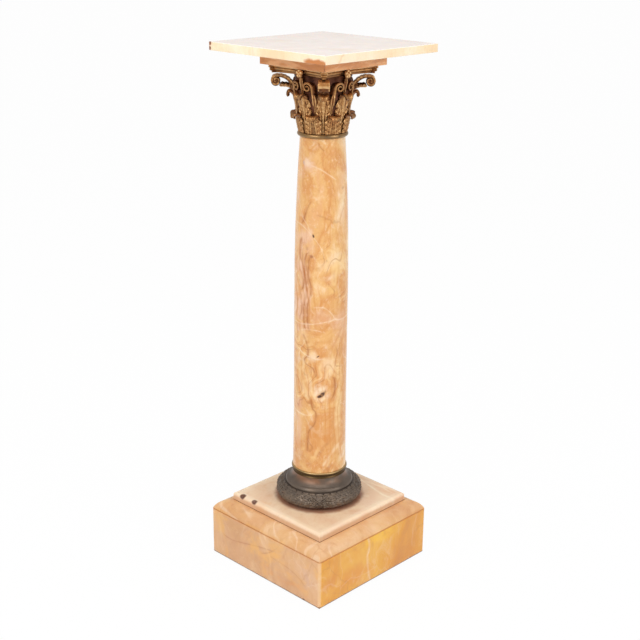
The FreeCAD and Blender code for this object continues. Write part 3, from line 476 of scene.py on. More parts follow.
def make_block_onyx(half, arris):
    """The block: each face was cut through another part of the stone, and so was the moulding."""
    stops = [(0.0, CREAM), (0.35, ROSE), (0.6, HONEY), (0.85, ROSE), (1.0, CREAM)]
    finish = onyx("block_onyx", stops, 9.0)
    lay, both, smooth = finish.lay, finish.both, finish.smooth
    skin = (half - 6.0, half - 2.0)
    cloud = finish.noise(10.0, 5.0, 0.6, 0.7, finish.along)
    right, left = smooth(finish.x, *skin), finish.left(*skin)
    lay(right, finish.ramp(cloud, *BLOCK_GOLD), 0.92)
    lay(left, finish.ramp(cloud, *BLOCK_TAN), 0.85)
    for side, clouds in ((right, BLOCK_RIGHT_CLOUDS), (left, BLOCK_LEFT_CLOUDS)):
        for each in clouds:
            finish.tint(side, *each)
    for points in BLOCK_LEFT_VEINS:
        finish.draw_vein(points, 1.5, VEIN_BROWN, 0.32, level=True, within=left)
    finish.draw_vein(BLOCK_RIGHT_VEIN, 1.8, PALE, 0.45, within=right)
    moulding = finish.up(arris - 1.0, arris + 1.0)
    lay(moulding, finish.ramp(cloud, *BLOCK_WARM), 0.8)
    swirl = finish.line(finish.noise(9.0, 1.0, at=finish.along), 220.0, finish.across)
    wave = smooth(finish.wave(swirl, 0.16), 0.8, 1.0)
    lay(both(moulding, wave, finish.spots((9.0, 2.0), 0.46, 0.56)), PALE, 0.28)
    add_hair_veins(finish, 8.0, 0.02, VEIN_BROWN, 0.22, (0.53, 0.62))
    add_hair_veins(finish, 11.0, 0.02, PALE, 0.14, (0.5, 0.6))
    lay(both(left, finish.spots((12.0, 5.0, 0.65, 1.0), 0.5, 0.66)), (236, 178, 96), 0.55)
    streaky = finish.noise(20.0, 6.0, 0.7, 1.2, finish.along)
    lay(smooth(streaky, 0.52, 0.7), (246, 214, 168), 0.3)
    lay(smooth(streaky, 0.47, 0.3), (196, 128, 78), 0.3)
    edge = smooth(finish.sides("ADD"), 2 * half - 7.0, 2 * half - 4.5)
    lay(both(edge, finish.up(arris + 2.0, arris - 4.0)), CREAM, 0.35)
    quirk = finish.math("ABSOLUTE", finish.math("SUBTRACT", finish.height, arris))
    lay(smooth(quirk, 1.3, 0.4), VEIN_BROWN, 0.6)
    # A dark brown band along the foot of the block, ragged at its top: painted contact shadow.
    lay(smooth(finish.line(finish.ragged, 4.0, finish.height), 10.0, 8.0), (118, 74, 44), 0.8)
    return finish_stone(finish)


PLATE_CLOUDS = [((-120, 60), (34, 26), (238, 184, 130), 0.6), ((80, 86), (56, 20), (226, 170, 136), 0.55),
                ((100, 30), (40, 60), (230, 184, 152), 0.5)]
PLATE_VEIN = [(86, -66), (97, -52), (120, -14), (143, 18), (170, 30)]


def make_plate_onyx(chips, half, high):
    """The plate, with a dark ring about the foot, partly dirt and partly painted contact shadow; its clouds
    are placed across and in depth.
    """
    stops = [(0.0, (248, 222, 190)), (0.5, (240, 206, 170)), (1.0, (236, 192, 156))]
    finish = onyx("plate_onyx", stops, 6.0, fleck=0.2)
    finish.draw_on(finish.across, finish.depth)
    lay = finish.lay
    for cloud in PLATE_CLOUDS:
        finish.tint(None, *cloud)
    finish.draw_vein(PLATE_VEIN, 3.4, PALE, 1.0, level=True)
    add_hair_veins(finish, 6.0, 0.02, CRACK_WHITE, 0.6)
    top = finish.up(high - 6.0, high - 1.0)
    # A pale band round the top edge and a darker tone on the side below it: painted highlight and painted
    # shade of the rounded edge.
    border = finish.smooth(finish.sides("MAXIMUM"), half - 16.0, half - 8.0)
    lay(finish.both(top, border), PALE, 0.5)
    lay(finish.up(high - 4.0, high - 9.0), (214, 162, 120), 0.6)
    # A thin dark brown line round the foot of the plate: painted shadow in the gap under its edge.
    lay(finish.up(high - 15.5, high - 16.6), (140, 90, 58), 0.85)
    # The dark ring on the top just outside the foot is partly dirt and partly painted contact shadow of the
    # foot.
    squares = [finish.math("POWER", side, 2.0) for side in (finish.x, finish.y)]
    dirt = finish.line(finish.ragged, 10.0, finish.math("SQRT", finish.math("ADD", *squares)))
    lay(finish.both(top, finish.smooth(dirt, 104.0, 93.0)), (150, 84, 58), 0.75)
    for place, radius in chips:
        lay(finish.pit(place, radius * 1.9), (96, 48, 26), 0.95)
    return finish_stone(finish)


def make_neck_onyx(half):
    stops = [(0.0, (232, 176, 126)), (0.5, (216, 152, 98)), (1.0, (200, 130, 78))]
    finish = onyx("neck_onyx", stops, 9.0, grain=(1.0, 1.0, 5.0), fleck=0.25)
    finish.lay(finish.left(half - 5.0, half - 2.0), (190, 120, 54), 0.65)
    streak = finish.noise(16.0, 4.0, at=finish.stretch(finish.place, (1.0, 1.0, 7.0)))
    finish.lay(finish.smooth(streak, 0.52, 0.66), (236, 184, 134), 0.6)
    finish.lay(finish.smooth(streak, 0.46, 0.34), (178, 112, 68), 0.5)
    worn = finish.line(finish.ragged, 3.0, finish.sides("ADD"))
    finish.lay(finish.smooth(worn, 2 * half - 0.2, 2 * half + 1.2), (120, 66, 36), 0.8)
    return finish_stone(finish)


def make_top_onyx(chips, half, low, high):
    stops = [(0.0, (255, 240, 214)), (0.5, (252, 228, 190)), (1.0, (246, 212, 168))]
    finish = onyx("top_onyx", stops, 7.0, fleck=0.15)
    add_hair_veins(finish, 7.0, 0.02, (232, 184, 130), 0.4)
    # The top face is painted near white and pinkish: a painted sheen of the polished top.
    face = finish.ramp(finish.noise(9.0, 4.0, at=finish.along), (0.35, (253, 238, 230)),
                       (0.6, (254, 243, 238)), (0.75, (252, 232, 214)))
    finish.lay(finish.up(high - 1.0, high - 0.3), face, 0.9)
    left = finish.left(half - 2.0, half - 0.5)
    finish.tint(left, (-16, low + 2), (30, 9), (196, 112, 30), 0.92, 0.5)
    finish.tint(left, (-205, low + 8), (26, 12), (240, 200, 146), 0.6)
    for place, radius in chips:
        finish.lay(finish.pit(place, radius * 1.5), (140, 76, 40), 0.9)
    return finish_stone(finish)


# ---------------------------------------------------------------- metals and leather


def make_gilt_bronze():
    """Old gilt bronze: worn gold on the crests, brown lacquer, dark dirt in the hollows."""
    finish = Finish("gilt_bronze", metallic=0.9)
    worn = finish.line(finish.noise(90.0, 6.0, 0.7), 0.9, finish.math("ADD", finish.relief(), -0.45))
    finish.tone = finish.ramp(worn, (0.08, (60, 30, 18)), (0.26, (112, 70, 42)), (0.46, (156, 108, 64)),
                              (0.68, (190, 142, 90)), (0.95, (228, 186, 132)))
    finish.lay(finish.spots((34.0, 4.0, 0.6), 0.52, 0.7), (122, 108, 84), 0.4)
    finish.lay(finish.spots((46.0, 4.0, 0.6), 0.46, 0.3), (168, 98, 60), 0.35)
    return finish.close((140.0, 3.0), 0.3, 0.24, (420.0, 4.0), 0.0005, 0.6)


def make_bell_bronze():
    """The bell behind the leaves: dark reddish brown, much darker than the other bronze, as painted shade
    of the hollows behind the leaves.
    """
    finish = Finish("bell_painted_shade", metallic=0.6)
    finish.tone = finish.ramp(finish.noise(40.0, 5.0, 0.65), (0.34, (58, 26, 16)), (0.62, (118, 68, 42)))
    return finish.close((120.0, 3.0), 0.3, 0.35, (260.0, 4.0), 0.0006, 0.7)


def make_band_bronze(name, base, body, crest, edge):
    """A turned metal band: its body colour up to one edge height and, past it, its crest colour, a painted
    highlight along the top.
    """
    finish = Finish(name, metallic=0.9)
    finish.tone = finish.ramp(finish.noise(60.0, 4.0, 0.65), (0.3, base), (0.6, body))
    finish.lay(finish.up(*edge), crest, 0.85)
    return finish.close((120.0, 3.0), 0.25, 0.22, (380.0, 3.0), 0.0003, 0.4)


def make_dark_bronze():
    """Brown-grey patina of the foot, with reddish metal where it is rubbed."""
    finish = Finish("dark_bronze", metallic=0.55)
    relief = finish.relief()
    _, low, high = extent("foot_casting")
    lay, both, spots = finish.lay, finish.both, finish.spots
    finish.tone = finish.ramp(finish.noise(26.0, 5.0, 0.6), (0.3, (92, 80, 70)), (0.55, (110, 96, 84)),
                              (0.75, (126, 106, 88)))
    torus = finish.up(low + TORUS_HEIGHT + 1.0, low + TORUS_HEIGHT - 1.0)
    lay(both(torus, spots((130.0, 4.0, 0.65), 0.46, 0.62)), (122, 106, 88), 0.4)
    # A brown tint on the scotia just under the ring: painted reflection of the ring.
    lay(both(finish.up(high - 17.0, high - 6.0), spots((18.0, 3.0), 0.42, 0.6)), (150, 104, 74), 0.75)
    lay(both(finish.up(low + 11.0, low + 2.0), spots((30.0, 4.0), 0.36, 0.56)), (122, 62, 40), 0.85)
    lay(both(torus, finish.smooth(relief, 0.56, 0.85)), (132, 116, 98), 0.2)
    lay(finish.smooth(relief, 0.46, 0.1), (44, 32, 26), 0.85)
    return finish.close((90.0, 3.0), 0.22, 0.3, (300.0, 3.0), 0.0003, 0.4)


def make_iron():
    finish = Finish("iron", roughness=0.6, metallic=0.8)
    return finish.colour(finish.mix(finish.noise(80.0, 4.0), (70, 66, 62), (104, 82, 66)))


def make_leather():
    finish = Finish("leather", roughness=0.75)
    finish.bump(finish.cells(700.0), 0.0003, 0.6)
    return finish.colour(finish.mix(finish.noise(160.0, 4.0), (96, 66, 44), (128, 90, 60)))


# ---------------------------------------------------------------- meshes


def grid_faces(rows, columns, closed=False):
    """Quads over a grid of points; a closed grid joins its last column to its first."""
    left = np.arange(columns if closed else columns - 1)[None, :]
    start = np.arange(rows - 1)[:, None] * columns
    right = (left + 1) % columns
    quads = [start + left, start + right, start + columns + right, start + columns + left]
    return np.stack(quads, -1).reshape(-1, 4).tolist()


def add_piece(name, parts, material, nodes, body="column", sharp=None):
    """A mesh piece of one or more (points, faces, relief) parts that stands for CAD nodes.

    It is shaded smoothly, apart from edges that turn by more than sharp degrees.
    """
    points, faces, relief = [], [], []
    for part_points, part_faces, part_relief in parts:
        start = sum(len(chunk) for chunk in points)
        points.append(np.asarray(part_points, float).reshape(-1, 3))
        faces += [[start + corner for corner in face] for face in part_faces]
        relief.append(np.broadcast_to(np.asarray(part_relief, float).ravel(), (len(points[-1]),)))
    mesh = bpy.data.meshes.new(name)
    mesh.from_pydata((np.concatenate(points) * MM).tolist(), [], faces)
    mesh.attributes.new("relief", "FLOAT", "POINT").data.foreach_set("value", np.concatenate(relief))
    mesh.materials.append(material)
    mesh.polygons.foreach_set("use_smooth", [True] * len(mesh.polygons))
    if sharp:
        mesh.set_sharp_from_angle(angle=math.radians(sharp))
    mesh.update()
    piece = bpy.data.objects.new(name, mesh)
    bpy.context.scene.collection.objects.link(piece)
    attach(piece, body)
    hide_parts(*nodes)
    return piece


def add_bronzes(name, parts, node, angles):
    """Turned copies of a cast piece: one for each numbered node."""
    for number, angle in enumerate(angles, start=1):
        turned = [(turn(points, angle), faces, relief) for points, faces, relief in parts]
        add_piece(f"{name}_{number}", turned, bronze, [f"{node}_{number}"])


def loft(rings, relief=1.0):
    """A closed skin through rings of points from the bottom up, with a flat end at each end."""
    rings = np.asarray(rings, float)
    rows, columns = rings.shape[:2]
    faces = grid_faces(rows, columns, closed=True)
    faces.append(list(range(columns))[::-1])
    faces.append([(rows - 1) * columns + corner for corner in range(columns)])
    return rings.reshape(-1, 3), faces, relief


def full_turn(count):
    """Angles evenly round a circle."""
    return np.linspace(0, 2 * math.pi, count, endpoint=False)


def ring_at(radius, around, up):
    """Points round the upright axis."""
    return np.column_stack([radius * np.cos(around), radius * np.sin(around), np.full(len(around), up)])


def turn(points, angle):
    """Points turned about the upright axis, by degrees."""
    turned = np.array(points, float)
    cosine, sine = math.cos(math.radians(angle)), math.sin(math.radians(angle))
    turned[..., 0] = points[..., 0] * cosine - points[..., 1] * sine
    turned[..., 1] = points[..., 0] * sine + points[..., 1] * cosine
    return turned


def carve(points, chips):
    """Scoop out each chip, a ragged ball: points inside it move out to its skin."""
    for centre, radius in chips:
        away = points - np.array(centre)
        reach = np.linalg.norm(away, axis=1)
        for index in np.flatnonzero(reach < radius * 1.3):
            ragged = radius * (1 + 0.3 * noise.noise(Vector(points[index] * 0.35)))
            if reach[index] < ragged:
                points[index] = centre + away[index] * (ragged / max(reach[index], 0.01))


# ---------------------------------------------------------------- stones

SIDE_STEPS = 150
ARRIS_WEAR = 0.5
WEAR_PITCH = 0.06
STONE_SHARP = 14.0


def square_ring(half, up, inset, corner):
    """Points round a square, closer together near its corners; corner rounds the full-size outline."""
    steps = np.sin(np.linspace(-math.pi / 2, math.pi / 2, SIDE_STEPS, endpoint=False))
    side = np.column_stack([np.ones(SIDE_STEPS), steps, np.zeros(SIDE_STEPS)])
    ring = np.concatenate([turn(side, angle) for angle in SIDES]) * (half - inset)
    over = np.abs(ring[:, :2]) - (half - corner)
    reach = np.hypot(over[:, 0], over[:, 1])
    outside = (over.min(1) > 0) & (reach > corner)
    rounded = np.sign(ring[:, :2]) * (half - corner + over * (corner / np.maximum(reach, 1e-6))[:, None])
    ring[:, :2] = np.where(outside[:, None], rounded, ring[:, :2])
    ring[:, 2] = up
    return ring


def eased_edge(up, radius, steps=9):
    """Rows (inset, height) of a quarter round that starts on the side and goes in and up."""
    turns = np.linspace(0, math.pi / 2, steps)
    return [(radius * (1 - math.cos(t)), up + radius * math.sin(t)) for t in turns]


def foot_edge(low, radius, steps=9):
    """Rows of a quarter round from the underside out to the side."""
    turns = np.linspace(0, math.pi / 2, steps)
    return [(radius * (1 - math.sin(t)), low + radius * (1 - math.cos(t))) for t in turns]


def flat_rows(up, *insets):
    return [(inset, up) for inset in insets]


def side_rows(low, high, count):
    return [(0.0, float(up)) for up in np.linspace(low, high, count + 2)[1:-1]]


def slab(half, section, corner=0.8, chips=()):
    """A square stone from its section: rows of (inset, height), bottom up, with worn arrises."""
    rings = np.array([square_ring(half, up, inset, corner) for inset, up in section])
    low, high = section[0][1], section[-1][1]
    for row, (_, up) in enumerate(section):
        if low < up < high:
            worn = np.array([max(0.0, noise.noise(Vector(p * WEAR_PITCH))) for p in rings[row]])
            near_end = math.exp(-min(up - low, high - up) / 2.0)
            rings[row, :, :2] *= (1 - ARRIS_WEAR * near_end * worn / half)[:, None]
    points, faces, relief = loft(rings)
    carve(points, chips)
    points[:, 2] = points[:, 2].clip(low, high)
    return points, faces, relief


def eased_slab(half, low, high, radius, chips=()):
    section = flat_rows(low, 60.0, 20.0, 8.0, 4.0) + foot_edge(low, radius)
    section += side_rows(low + radius, high - radius, 9)
    section += eased_edge(high - radius, radius) + flat_rows(high, 4.0, 8.0, 20.0, 60.0)
    return slab(half, section, 1.0, chips)


def add_stone(name, part, material, node, body="column", sharp=STONE_SHARP):
    add_piece(name, [part], material, [node], body, sharp)


def make_top():
    half, low, high = extent("top_slab")
    chips = [((-half + 3.0, -half - 1.0, high - 2.0), 3.4), ((-half + 2.0, -half - 1.0, low + 4.0), 3.2)]
    material = make_top_onyx(chips, half, low, high)
    add_stone("onyx_top", eased_slab(half, low, high, 1.2, chips), material, "top_slab", "top")


def make_neck():
    half, low, high = extent("neck_slab")
    add_stone("onyx_neck", eased_slab(half, low, high, 1.0), make_neck_onyx(half), "neck_slab", "top")


PLATE_EDGE = 6.0
PLATE_CHIPS = [(-102.0, 5.0), (-66.0, 4.8)]


def make_plate():
    half, low, high = extent("plinth_plate")
    section = flat_rows(low, 60.0, 20.0, 5.0, 0.0) + side_rows(low, high - PLATE_EDGE, 6)
    section += eased_edge(high - PLATE_EDGE, PLATE_EDGE)
    section += flat_rows(high, 7.0, 9.0, 12.0, 20.0, 40.0, 80.0)
    chips = [((along, -half + 1.0, high + 1.0), radius) for along, radius in PLATE_CHIPS]
    material = make_plate_onyx(chips, half, high)
    add_stone("onyx_plate", slab(half, section, chips=chips), material, "plinth_plate")


BLOCK_CORNER = 8.0
BLOCK_FOOT = 9.0
MOULDING_HEIGHT = 20.5
MOULDING_INSET = 27.5
MOULDING_CURVE = 32.0
QUIRK = 2.0


def moulding_rows(high, steps=22):
    """The round moulding: an arc of its own radius from the quirk up to the top face."""
    start = np.array([QUIRK, high - MOULDING_HEIGHT])
    end = np.array([MOULDING_INSET, high])
    chord = end - start
    span = np.linalg.norm(chord)
    inward = np.array([chord[1], -chord[0]]) / span
    centre = (start + end) / 2 + inward * math.sqrt(MOULDING_CURVE ** 2 - span ** 2 / 4)
    first, last = (math.atan2(*(place - centre)[::-1]) for place in (start, end))
    return [(centre[0] + MOULDING_CURVE * math.cos(t), centre[1] + MOULDING_CURVE * math.sin(t))
            for t in np.linspace(first, last, steps)]


def make_block():
    half, low, high = extent("plinth_block")
    arris = high - MOULDING_HEIGHT
    section = flat_rows(low, 60.0, 20.0) + foot_edge(low, BLOCK_FOOT)
    section += side_rows(BLOCK_FOOT, arris - 1.0, 40) + eased_edge(arris - 1.0, 1.0, 6)
    section += moulding_rows(high) + flat_rows(high, 30.0, 36.0, 60.0, 100.0)
    chips = [((118.0, -half - 1.0, low + 4.0), 5.0), ((half, -half + 2.0, low + 91.0), 2.5)]
    material = make_block_onyx(half, arris)
    add_stone("onyx_block", slab(half, section, BLOCK_CORNER, chips), material, "plinth_block")


SHAFT_ROWS = 380
SHAFT_COLUMNS = 240
SHAFT_BORE = 30.0
HOLLOW_STAND = 0.5


def make_shaft():
    heights, radii = turned_profile("shaft", SHAFT_BORE).T
    around = full_turn(SHAFT_COLUMNS)
    ups = np.linspace(heights[0], heights[-1], SHAFT_ROWS)
    rings = [ring_at(radius, around, up) for up, radius in zip(ups, np.interp(ups, heights, radii))]
    points, faces, relief = loft(rings)
    for mark, radius in SHAFT_HOLLOWS:
        skin = np.interp(mark[1], heights, radii) + HOLLOW_STAND * radius
        carve(points, [(shaft_place(mark, skin), radius)])
    add_stone("onyx_shaft", (points, faces, relief), make_shaft_onyx(), "shaft", sharp=None)


# ---------------------------------------------------------------- lines of bands and leaves


def bent_line(start, lean, stretches, step=0.7):
    """A line in the (radius, height) plane: stretches of (length, turn in degrees), sampled evenly.

    Returns places, headings in radians from straight up, and the lengths along the line.
    """
    place, heading, run = np.array(start, float), math.radians(lean), 0.0
    places, headings, runs = [place.copy()], [heading], [0.0]
    for length, bend in stretches:
        steps = max(2, round(length / step))
        for _ in range(steps):
            heading += math.radians(bend) / steps / 2
            place = place + length / steps * np.array([math.sin(heading), math.cos(heading)])
            heading += math.radians(bend) / steps / 2
            run += length / steps
            places.append(place)
            headings.append(heading)
            runs.append(run)
    return np.array(places), np.array(headings), np.array(runs)


def spiral_stretches(radius, tightening, least, turn_each=30.0):
    """Short stretches of a scroll whose radius shrinks steadily, by tightening in each half turn."""
    stretches = []
    while radius > least:
        stretches.append((math.radians(abs(turn_each)) * radius, turn_each))
        radius -= tightening / (180.0 / abs(turn_each))
    return stretches


def lifted_line(recipe, step=0.7):
    """A recipe's line: its start is measured from the bell's foot, and it may end in a scroll."""
    start = (recipe["start"][0], foot_of("capital_bell") + recipe["start"][1])
    scroll = spiral_stretches(*recipe["scroll"]) if "scroll" in recipe else []
    return bent_line(start, recipe["lean"], recipe["stretches"] + scroll, step)


def ease(value, start, end):
    share = np.clip((value - start) / (end - start), 0, 1)
    return share * share * (3 - 2 * share)


# ---------------------------------------------------------------- cast leaves


def leaf_part(recipe, columns=61):
    """A cast acanthus leaf standing along +X: ribbed lobes beside a broad midrib, under a curled hood.

    The recipe's widths are half widths at the foot, the widest lobe and the tip.
    """
    places, headings, runs = lifted_line(recipe)
    foot_width, lobe_width, tip_width = recipe["widths"]
    lobes, hood = recipe["lobes"], recipe["hood"]
    share = runs / runs[-1]
    widths = [foot_width, foot_width * 1.05, lobe_width * 0.93, lobe_width, tip_width]
    outline = np.interp(share, [0, 0.14, 0.42, hood - 0.16, hood], widths)
    outline = outline * np.sqrt(1 - 0.8 * ease(share, hood, 1.02) ** 2)
    beat = lobes * share / hood
    below_hood = 1 - ease(share, hood, hood + 0.1)
    notch = (1 - np.abs(np.sin(math.pi * beat))) ** 2 * ease(share, 0.1, 0.25) * below_hood
    teeth = np.abs(np.sin(3 * math.pi * beat)) * below_hood
    outline = outline * (1 - 0.24 * notch + 0.05 * teeth)
    steps = np.linspace(-1, 1, columns)[None, :]
    across = outline[:, None] * steps
    side = np.abs(steps) + 0 * across
    up = share[:, None]
    blade = 1 - ease(up, hood - 0.06, hood + 0.06)
    rib_half = np.interp(share, [0, 0.35, hood, 1], recipe["rib"])[:, None]
    rib = np.sqrt(np.clip(1 - (across / rib_half) ** 2, 0, 1))
    off_rib = ease(np.abs(across), rib_half, rib_half + 1.5)
    fluting = np.abs(np.sin(math.pi * (side * recipe["flutes"] + 0.35 * up * lobes))) ** 0.7
    lobe_rise = (beat[:, None] - 0.85 * side + 8.0) % 1.0
    lobe = np.where(lobe_rise < 0.9, (lobe_rise / 0.9) ** 0.7, (1 - lobe_rise) / 0.1)
    relief = off_rib * blade * (0.95 * fluting + 1.2 * lobe * side ** 0.8)
    eye = np.exp(-((side - 0.6) / 0.12) ** 2) * np.exp(-((lobe_rise - 0.95) / 0.1) ** 2)
    relief = relief - 1.1 * eye * blade * off_rib
    relief = np.maximum(relief, rib * recipe["rib_height"] * (0.55 + 0.45 * blade))
    relief = relief + recipe["wear"] * rough_grid(up * runs[-1], across)
    outward = relief - recipe["droop"] * side ** 2 * (0.4 + 0.6 * ease(up, 0.3, hood))
    radius = places[:, 0][:, None] + outward * np.cos(headings)[:, None]
    height = places[:, 1][:, None] - outward * np.sin(headings)[:, None]
    angle = across / np.maximum(places[:, 0][:, None], 20.0)
    front = np.stack([radius * np.cos(angle), radius * np.sin(angle), height], -1)
    grime = 0.3 + 0.32 * relief + 0.12 * (1 - blade) - 0.2 * (side ** 6) - 0.12 * rib * blade
    thickness = np.interp(share, [0, hood - 0.05, hood + 0.08], recipe["thickness"])
    back = 0.2 + 0.5 * (1 - blade) - 0.25 * np.abs(np.sin(math.pi * side * 2.5)) * (1 - blade)
    return shell(front, thickness[:, None, None], np.clip(grime, 0, 1), back)


def rough_grid(along, across):
    """Uneven casting: the same cloudy noise, -1 to 1, at each point of a grid."""
    along, across = np.broadcast_arrays(along, across)
    return np.array([[noise.noise(Vector((a * 0.28, b * 0.45, 3.7))) for a, b in zip(*row)]
                     for row in zip(along, across)])


def shell(front, thickness, relief, back_relief):
    """A grid of points thickened backwards into a closed solid, with its rim."""
    rows, columns = front.shape[:2]
    along, sideways = np.gradient(front, axis=0), np.gradient(front, axis=1)
    normal = np.cross(sideways, along)
    normal /= np.maximum(np.linalg.norm(normal, axis=-1, keepdims=True), 1e-9)
    back = front - normal * thickness
    faces = grid_faces(rows, columns)
    count = rows * columns
    faces += [[count + corner for corner in face[::-1]] for face in faces]
    rim = list(range(columns)) + [row * columns + columns - 1 for row in range(1, rows)]
    rim += list(range(count - 2, count - columns - 1, -1))
    rim += [row * columns for row in range(rows - 2, 0, -1)]
    for here, after in zip(rim, rim[1:] + rim[:1]):
        faces.append([after, here, count + here, count + after])
    points = np.concatenate([front.reshape(-1, 3), back.reshape(-1, 3)])
    return points, faces, np.concatenate([relief.ravel(), back_relief.ravel()])


UPPER_LEAF = dict(start=(44.4, 1.0), lean=9.0, stretches=[(59.0, 0), (15.4, 42), (7.8, 190)],
                  widths=(10.0, 17.2, 13.5), hood=0.8, lobes=4, flutes=2.5, rib=[1.4, 2.4, 5.6, 6.0],
                  rib_height=1.8, droop=1.6, thickness=(1.5, 1.5, 4.4), wear=0.7)
LOWER_LEAF = dict(start=(46.6, 0.5), lean=13.0, stretches=[(26.0, 0), (8.2, 38), (6.6, 190)],
                  widths=(14.0, 17.4, 14.0), hood=0.72, lobes=3, flutes=3.5, rib=[1.4, 1.6, 2.4, 3.0],
                  rib_height=1.2, droop=1.4, thickness=(1.4, 1.4, 3.6), wear=0.7)
CALYX_LEAF = dict(start=(53.0, 78.0), lean=58.0, stretches=[(13.0, 12), (15.0, 26), (4.0, -30)],
                  widths=(5.5, 9.0, 6.0), hood=0.94, lobes=4, flutes=1.5, rib=[1.6, 1.6, 1.6, 1.4],
                  rib_height=2.6, droop=5.0, thickness=(5.0, 5.0, 3.6), wear=0.6)


def make_leaves():
    steps = [number * 45.0 for number in range(8)]
    add_bronzes("acanthus_upper", [leaf_part(UPPER_LEAF)], "upper_leaf", steps)
    add_bronzes("acanthus_lower", [leaf_part(LOWER_LEAF)], "lower_leaf", [step + 22.5 for step in steps])
    add_bronzes("calyx", [leaf_part(CALYX_LEAF, 37)], "calyx_leaf", CORNERS)


# ---------------------------------------------------------------- scrolls


def band_section(half_width, thickness, points=32):
    """A cast band's closed section (across, out): rounded ridges with a groove between, all round."""
    turns = full_turn(points)
    cosine, sine = np.cos(turns), np.sin(turns)
    across = half_width * np.sign(cosine) * np.abs(cosine) ** 0.5
    out = thickness / 2 * np.sign(sine) * np.abs(sine) ** 0.65
    groove = np.exp(-(out / (thickness * 0.17)) ** 2) * (np.abs(across) > half_width * 0.8)
    across = across - np.sign(across) * groove * min(1.6, half_width * 0.16)
    dip = np.where(sine > 0.3, 1 - np.clip(np.abs(across) / half_width, 0, 1) ** 2, 0)
    return across, out - dip * min(1.2, thickness / 4)


def sweep_band(line, half_widths, thicknesses, ripple=0.0):
    """A band along a line in the (out, up) plane; its section is measured across and along the normal.

    The ripple is how far its outer face swells in cross ridges.
    """
    rings, relief = [], []
    for place, heading, run, half_width, thickness in zip(*line, half_widths, thicknesses):
        across, out = band_section(half_width, thickness)
        swell = abs(math.sin(run * RIPPLE_PITCH))
        out = out + ripple * (out > 0) * (swell - 0.6)
        rings.append(np.column_stack([place[0] - out * math.cos(heading), across,
                                      place[1] + out * math.sin(heading)]))
        valley = ripple * 0.3 * (1 - swell) ** 2
        relief.append(np.clip(0.62 + out / thickness * 0.7 - valley, 0.1, 1))
    points, faces, _ = loft(rings)
    return points, faces, np.array(relief)


RIPPLE_PITCH = 0.42
VOLUTE = dict(start=(54.6, 76.0), lean=16.0, scroll=(8.9, 2.5, 1.7),
              stretches=[(9.0, 0), (math.radians(74.0) * 28.0, 74.0), (4.6, 0)])
WEB_SECTION = [(-1.2, 0.3), (-1, 0.62), (-1, 1.0), (1, 1.0), (1, 0.62), (1.2, 0.3)]
WEB_RADIUS = VOLUTE["scroll"][0] * 0.98
WEB_HALF_WIDTH = 12.0 * 0.72


def make_volutes():
    line = lifted_line(VOLUTE, 1.0)
    share = line[2] / line[2][-1]
    half_widths = np.interp(share, [0, 0.25, 0.5, 1.0], [9.0, 10.0, 11.0, 12.0])
    thicknesses = np.interp(share, [0, 0.2, 0.4, 0.6, 1.0], [9.0, 8.4, 7.2, 6.2, 3.4])
    parts = [sweep_band(line, half_widths, thicknesses, 0.8), scroll_web(line[0][-1])]
    add_bronzes("volute", parts, "corner_volute", CORNERS)


def scroll_web(middle, columns=48):
    """The solid disc that a scroll winds round: it closes the gaps between the turns."""
    around = full_turn(columns)
    rings = [np.column_stack([middle[0] + WEB_RADIUS * share * np.sin(around),
                              np.full(columns, across * WEB_HALF_WIDTH),
                              middle[1] + WEB_RADIUS * share * np.cos(around)])
             for across, share in WEB_SECTION]
    return loft(rings, 0.25)


HELIX = dict(start=(25.0, 56.0), lean=0.0, stretches=[(32.0, -2.0)], scroll=(9.4, 2.6, 1.6, -30.0))
HELIX_PLANE = 60.0
HELIX_LEAN = 0.17
HELIX_WRAP = 0.008
CAULICULUS = dict(foot=34.0, head=76.0, radii=[2.0, 2.6, 3.2, 4.4, 6.0, 6.6, 4.0], flutes=6)
CAULICULUS_ACROSS = 24.5
STALK = dict(foot=70.0, head=106.0, radii=[3.6, 3.2, 4.0, 5.2, 3.2], flutes=5)


def helix_out(across, up):
    """How far out from the axis the helices stand: they lean with the bell and wrap it a little."""
    return HELIX_PLANE - HELIX_LEAN * (head_of("capital_bell") - up).clip(0) - HELIX_WRAP * across ** 2


def fluted_stem(recipe, across=0.0, rows=24, columns=36):
    """A fluted stem on a face of the bell, standing along +X, that swells as its radii say."""
    around = full_turn(columns)
    share = np.linspace(0, 1, rows)
    ups = foot_of("capital_bell") + recipe["foot"] + share * (recipe["head"] - recipe["foot"])
    radii = np.interp(share, np.linspace(0, 1, len(recipe["radii"])), recipe["radii"])
    flutes = 1 - 0.16 * np.abs(np.sin(recipe["flutes"] * around / 2))
    rings = []
    for up, radius in zip(ups, radii):
        heights = np.full(columns, up)
        out = helix_out(np.full(columns, across), heights) + radius * flutes * np.cos(around)
        rings.append(np.column_stack([out, across + radius * flutes * np.sin(around), heights]))
    return loft(rings, np.tile(0.2 + 0.7 * (flutes - 0.84) / 0.16, rows))


def make_helices():
    """On each face two stems that rise between the leaves and curl in, with a stalk between them."""
    line = lifted_line(HELIX, 0.9)
    share = line[2] / line[2][-1]
    half_widths = np.interp(share, [0, 0.4, 1.0], [4.6, 5.2, 5.6])
    thicknesses = np.interp(share, [0, 0.4, 0.6, 1.0], [8.0, 6.6, 5.4, 3.2])
    points, faces, relief = sweep_band(line, half_widths, thicknesses)
    relief = relief * 0.85
    out = helix_out(points[:, 0], points[:, 2]) + points[:, 1]
    right = np.column_stack([out, points[:, 0], points[:, 2]])
    parts = [(right, [face[::-1] for face in faces], relief), (right * [1, -1, 1], faces, relief)]
    parts += [fluted_stem(CAULICULUS, across) for across in (CAULICULUS_ACROSS, -CAULICULUS_ACROSS)]
    add_bronzes("helix_scrolls", parts + [fluted_stem(STALK)], "helix_pair", SIDES)


FLEURON_RADIUS = 9.2
FLEURON_DROP = 3.0
FLEURON_PETALS = 5


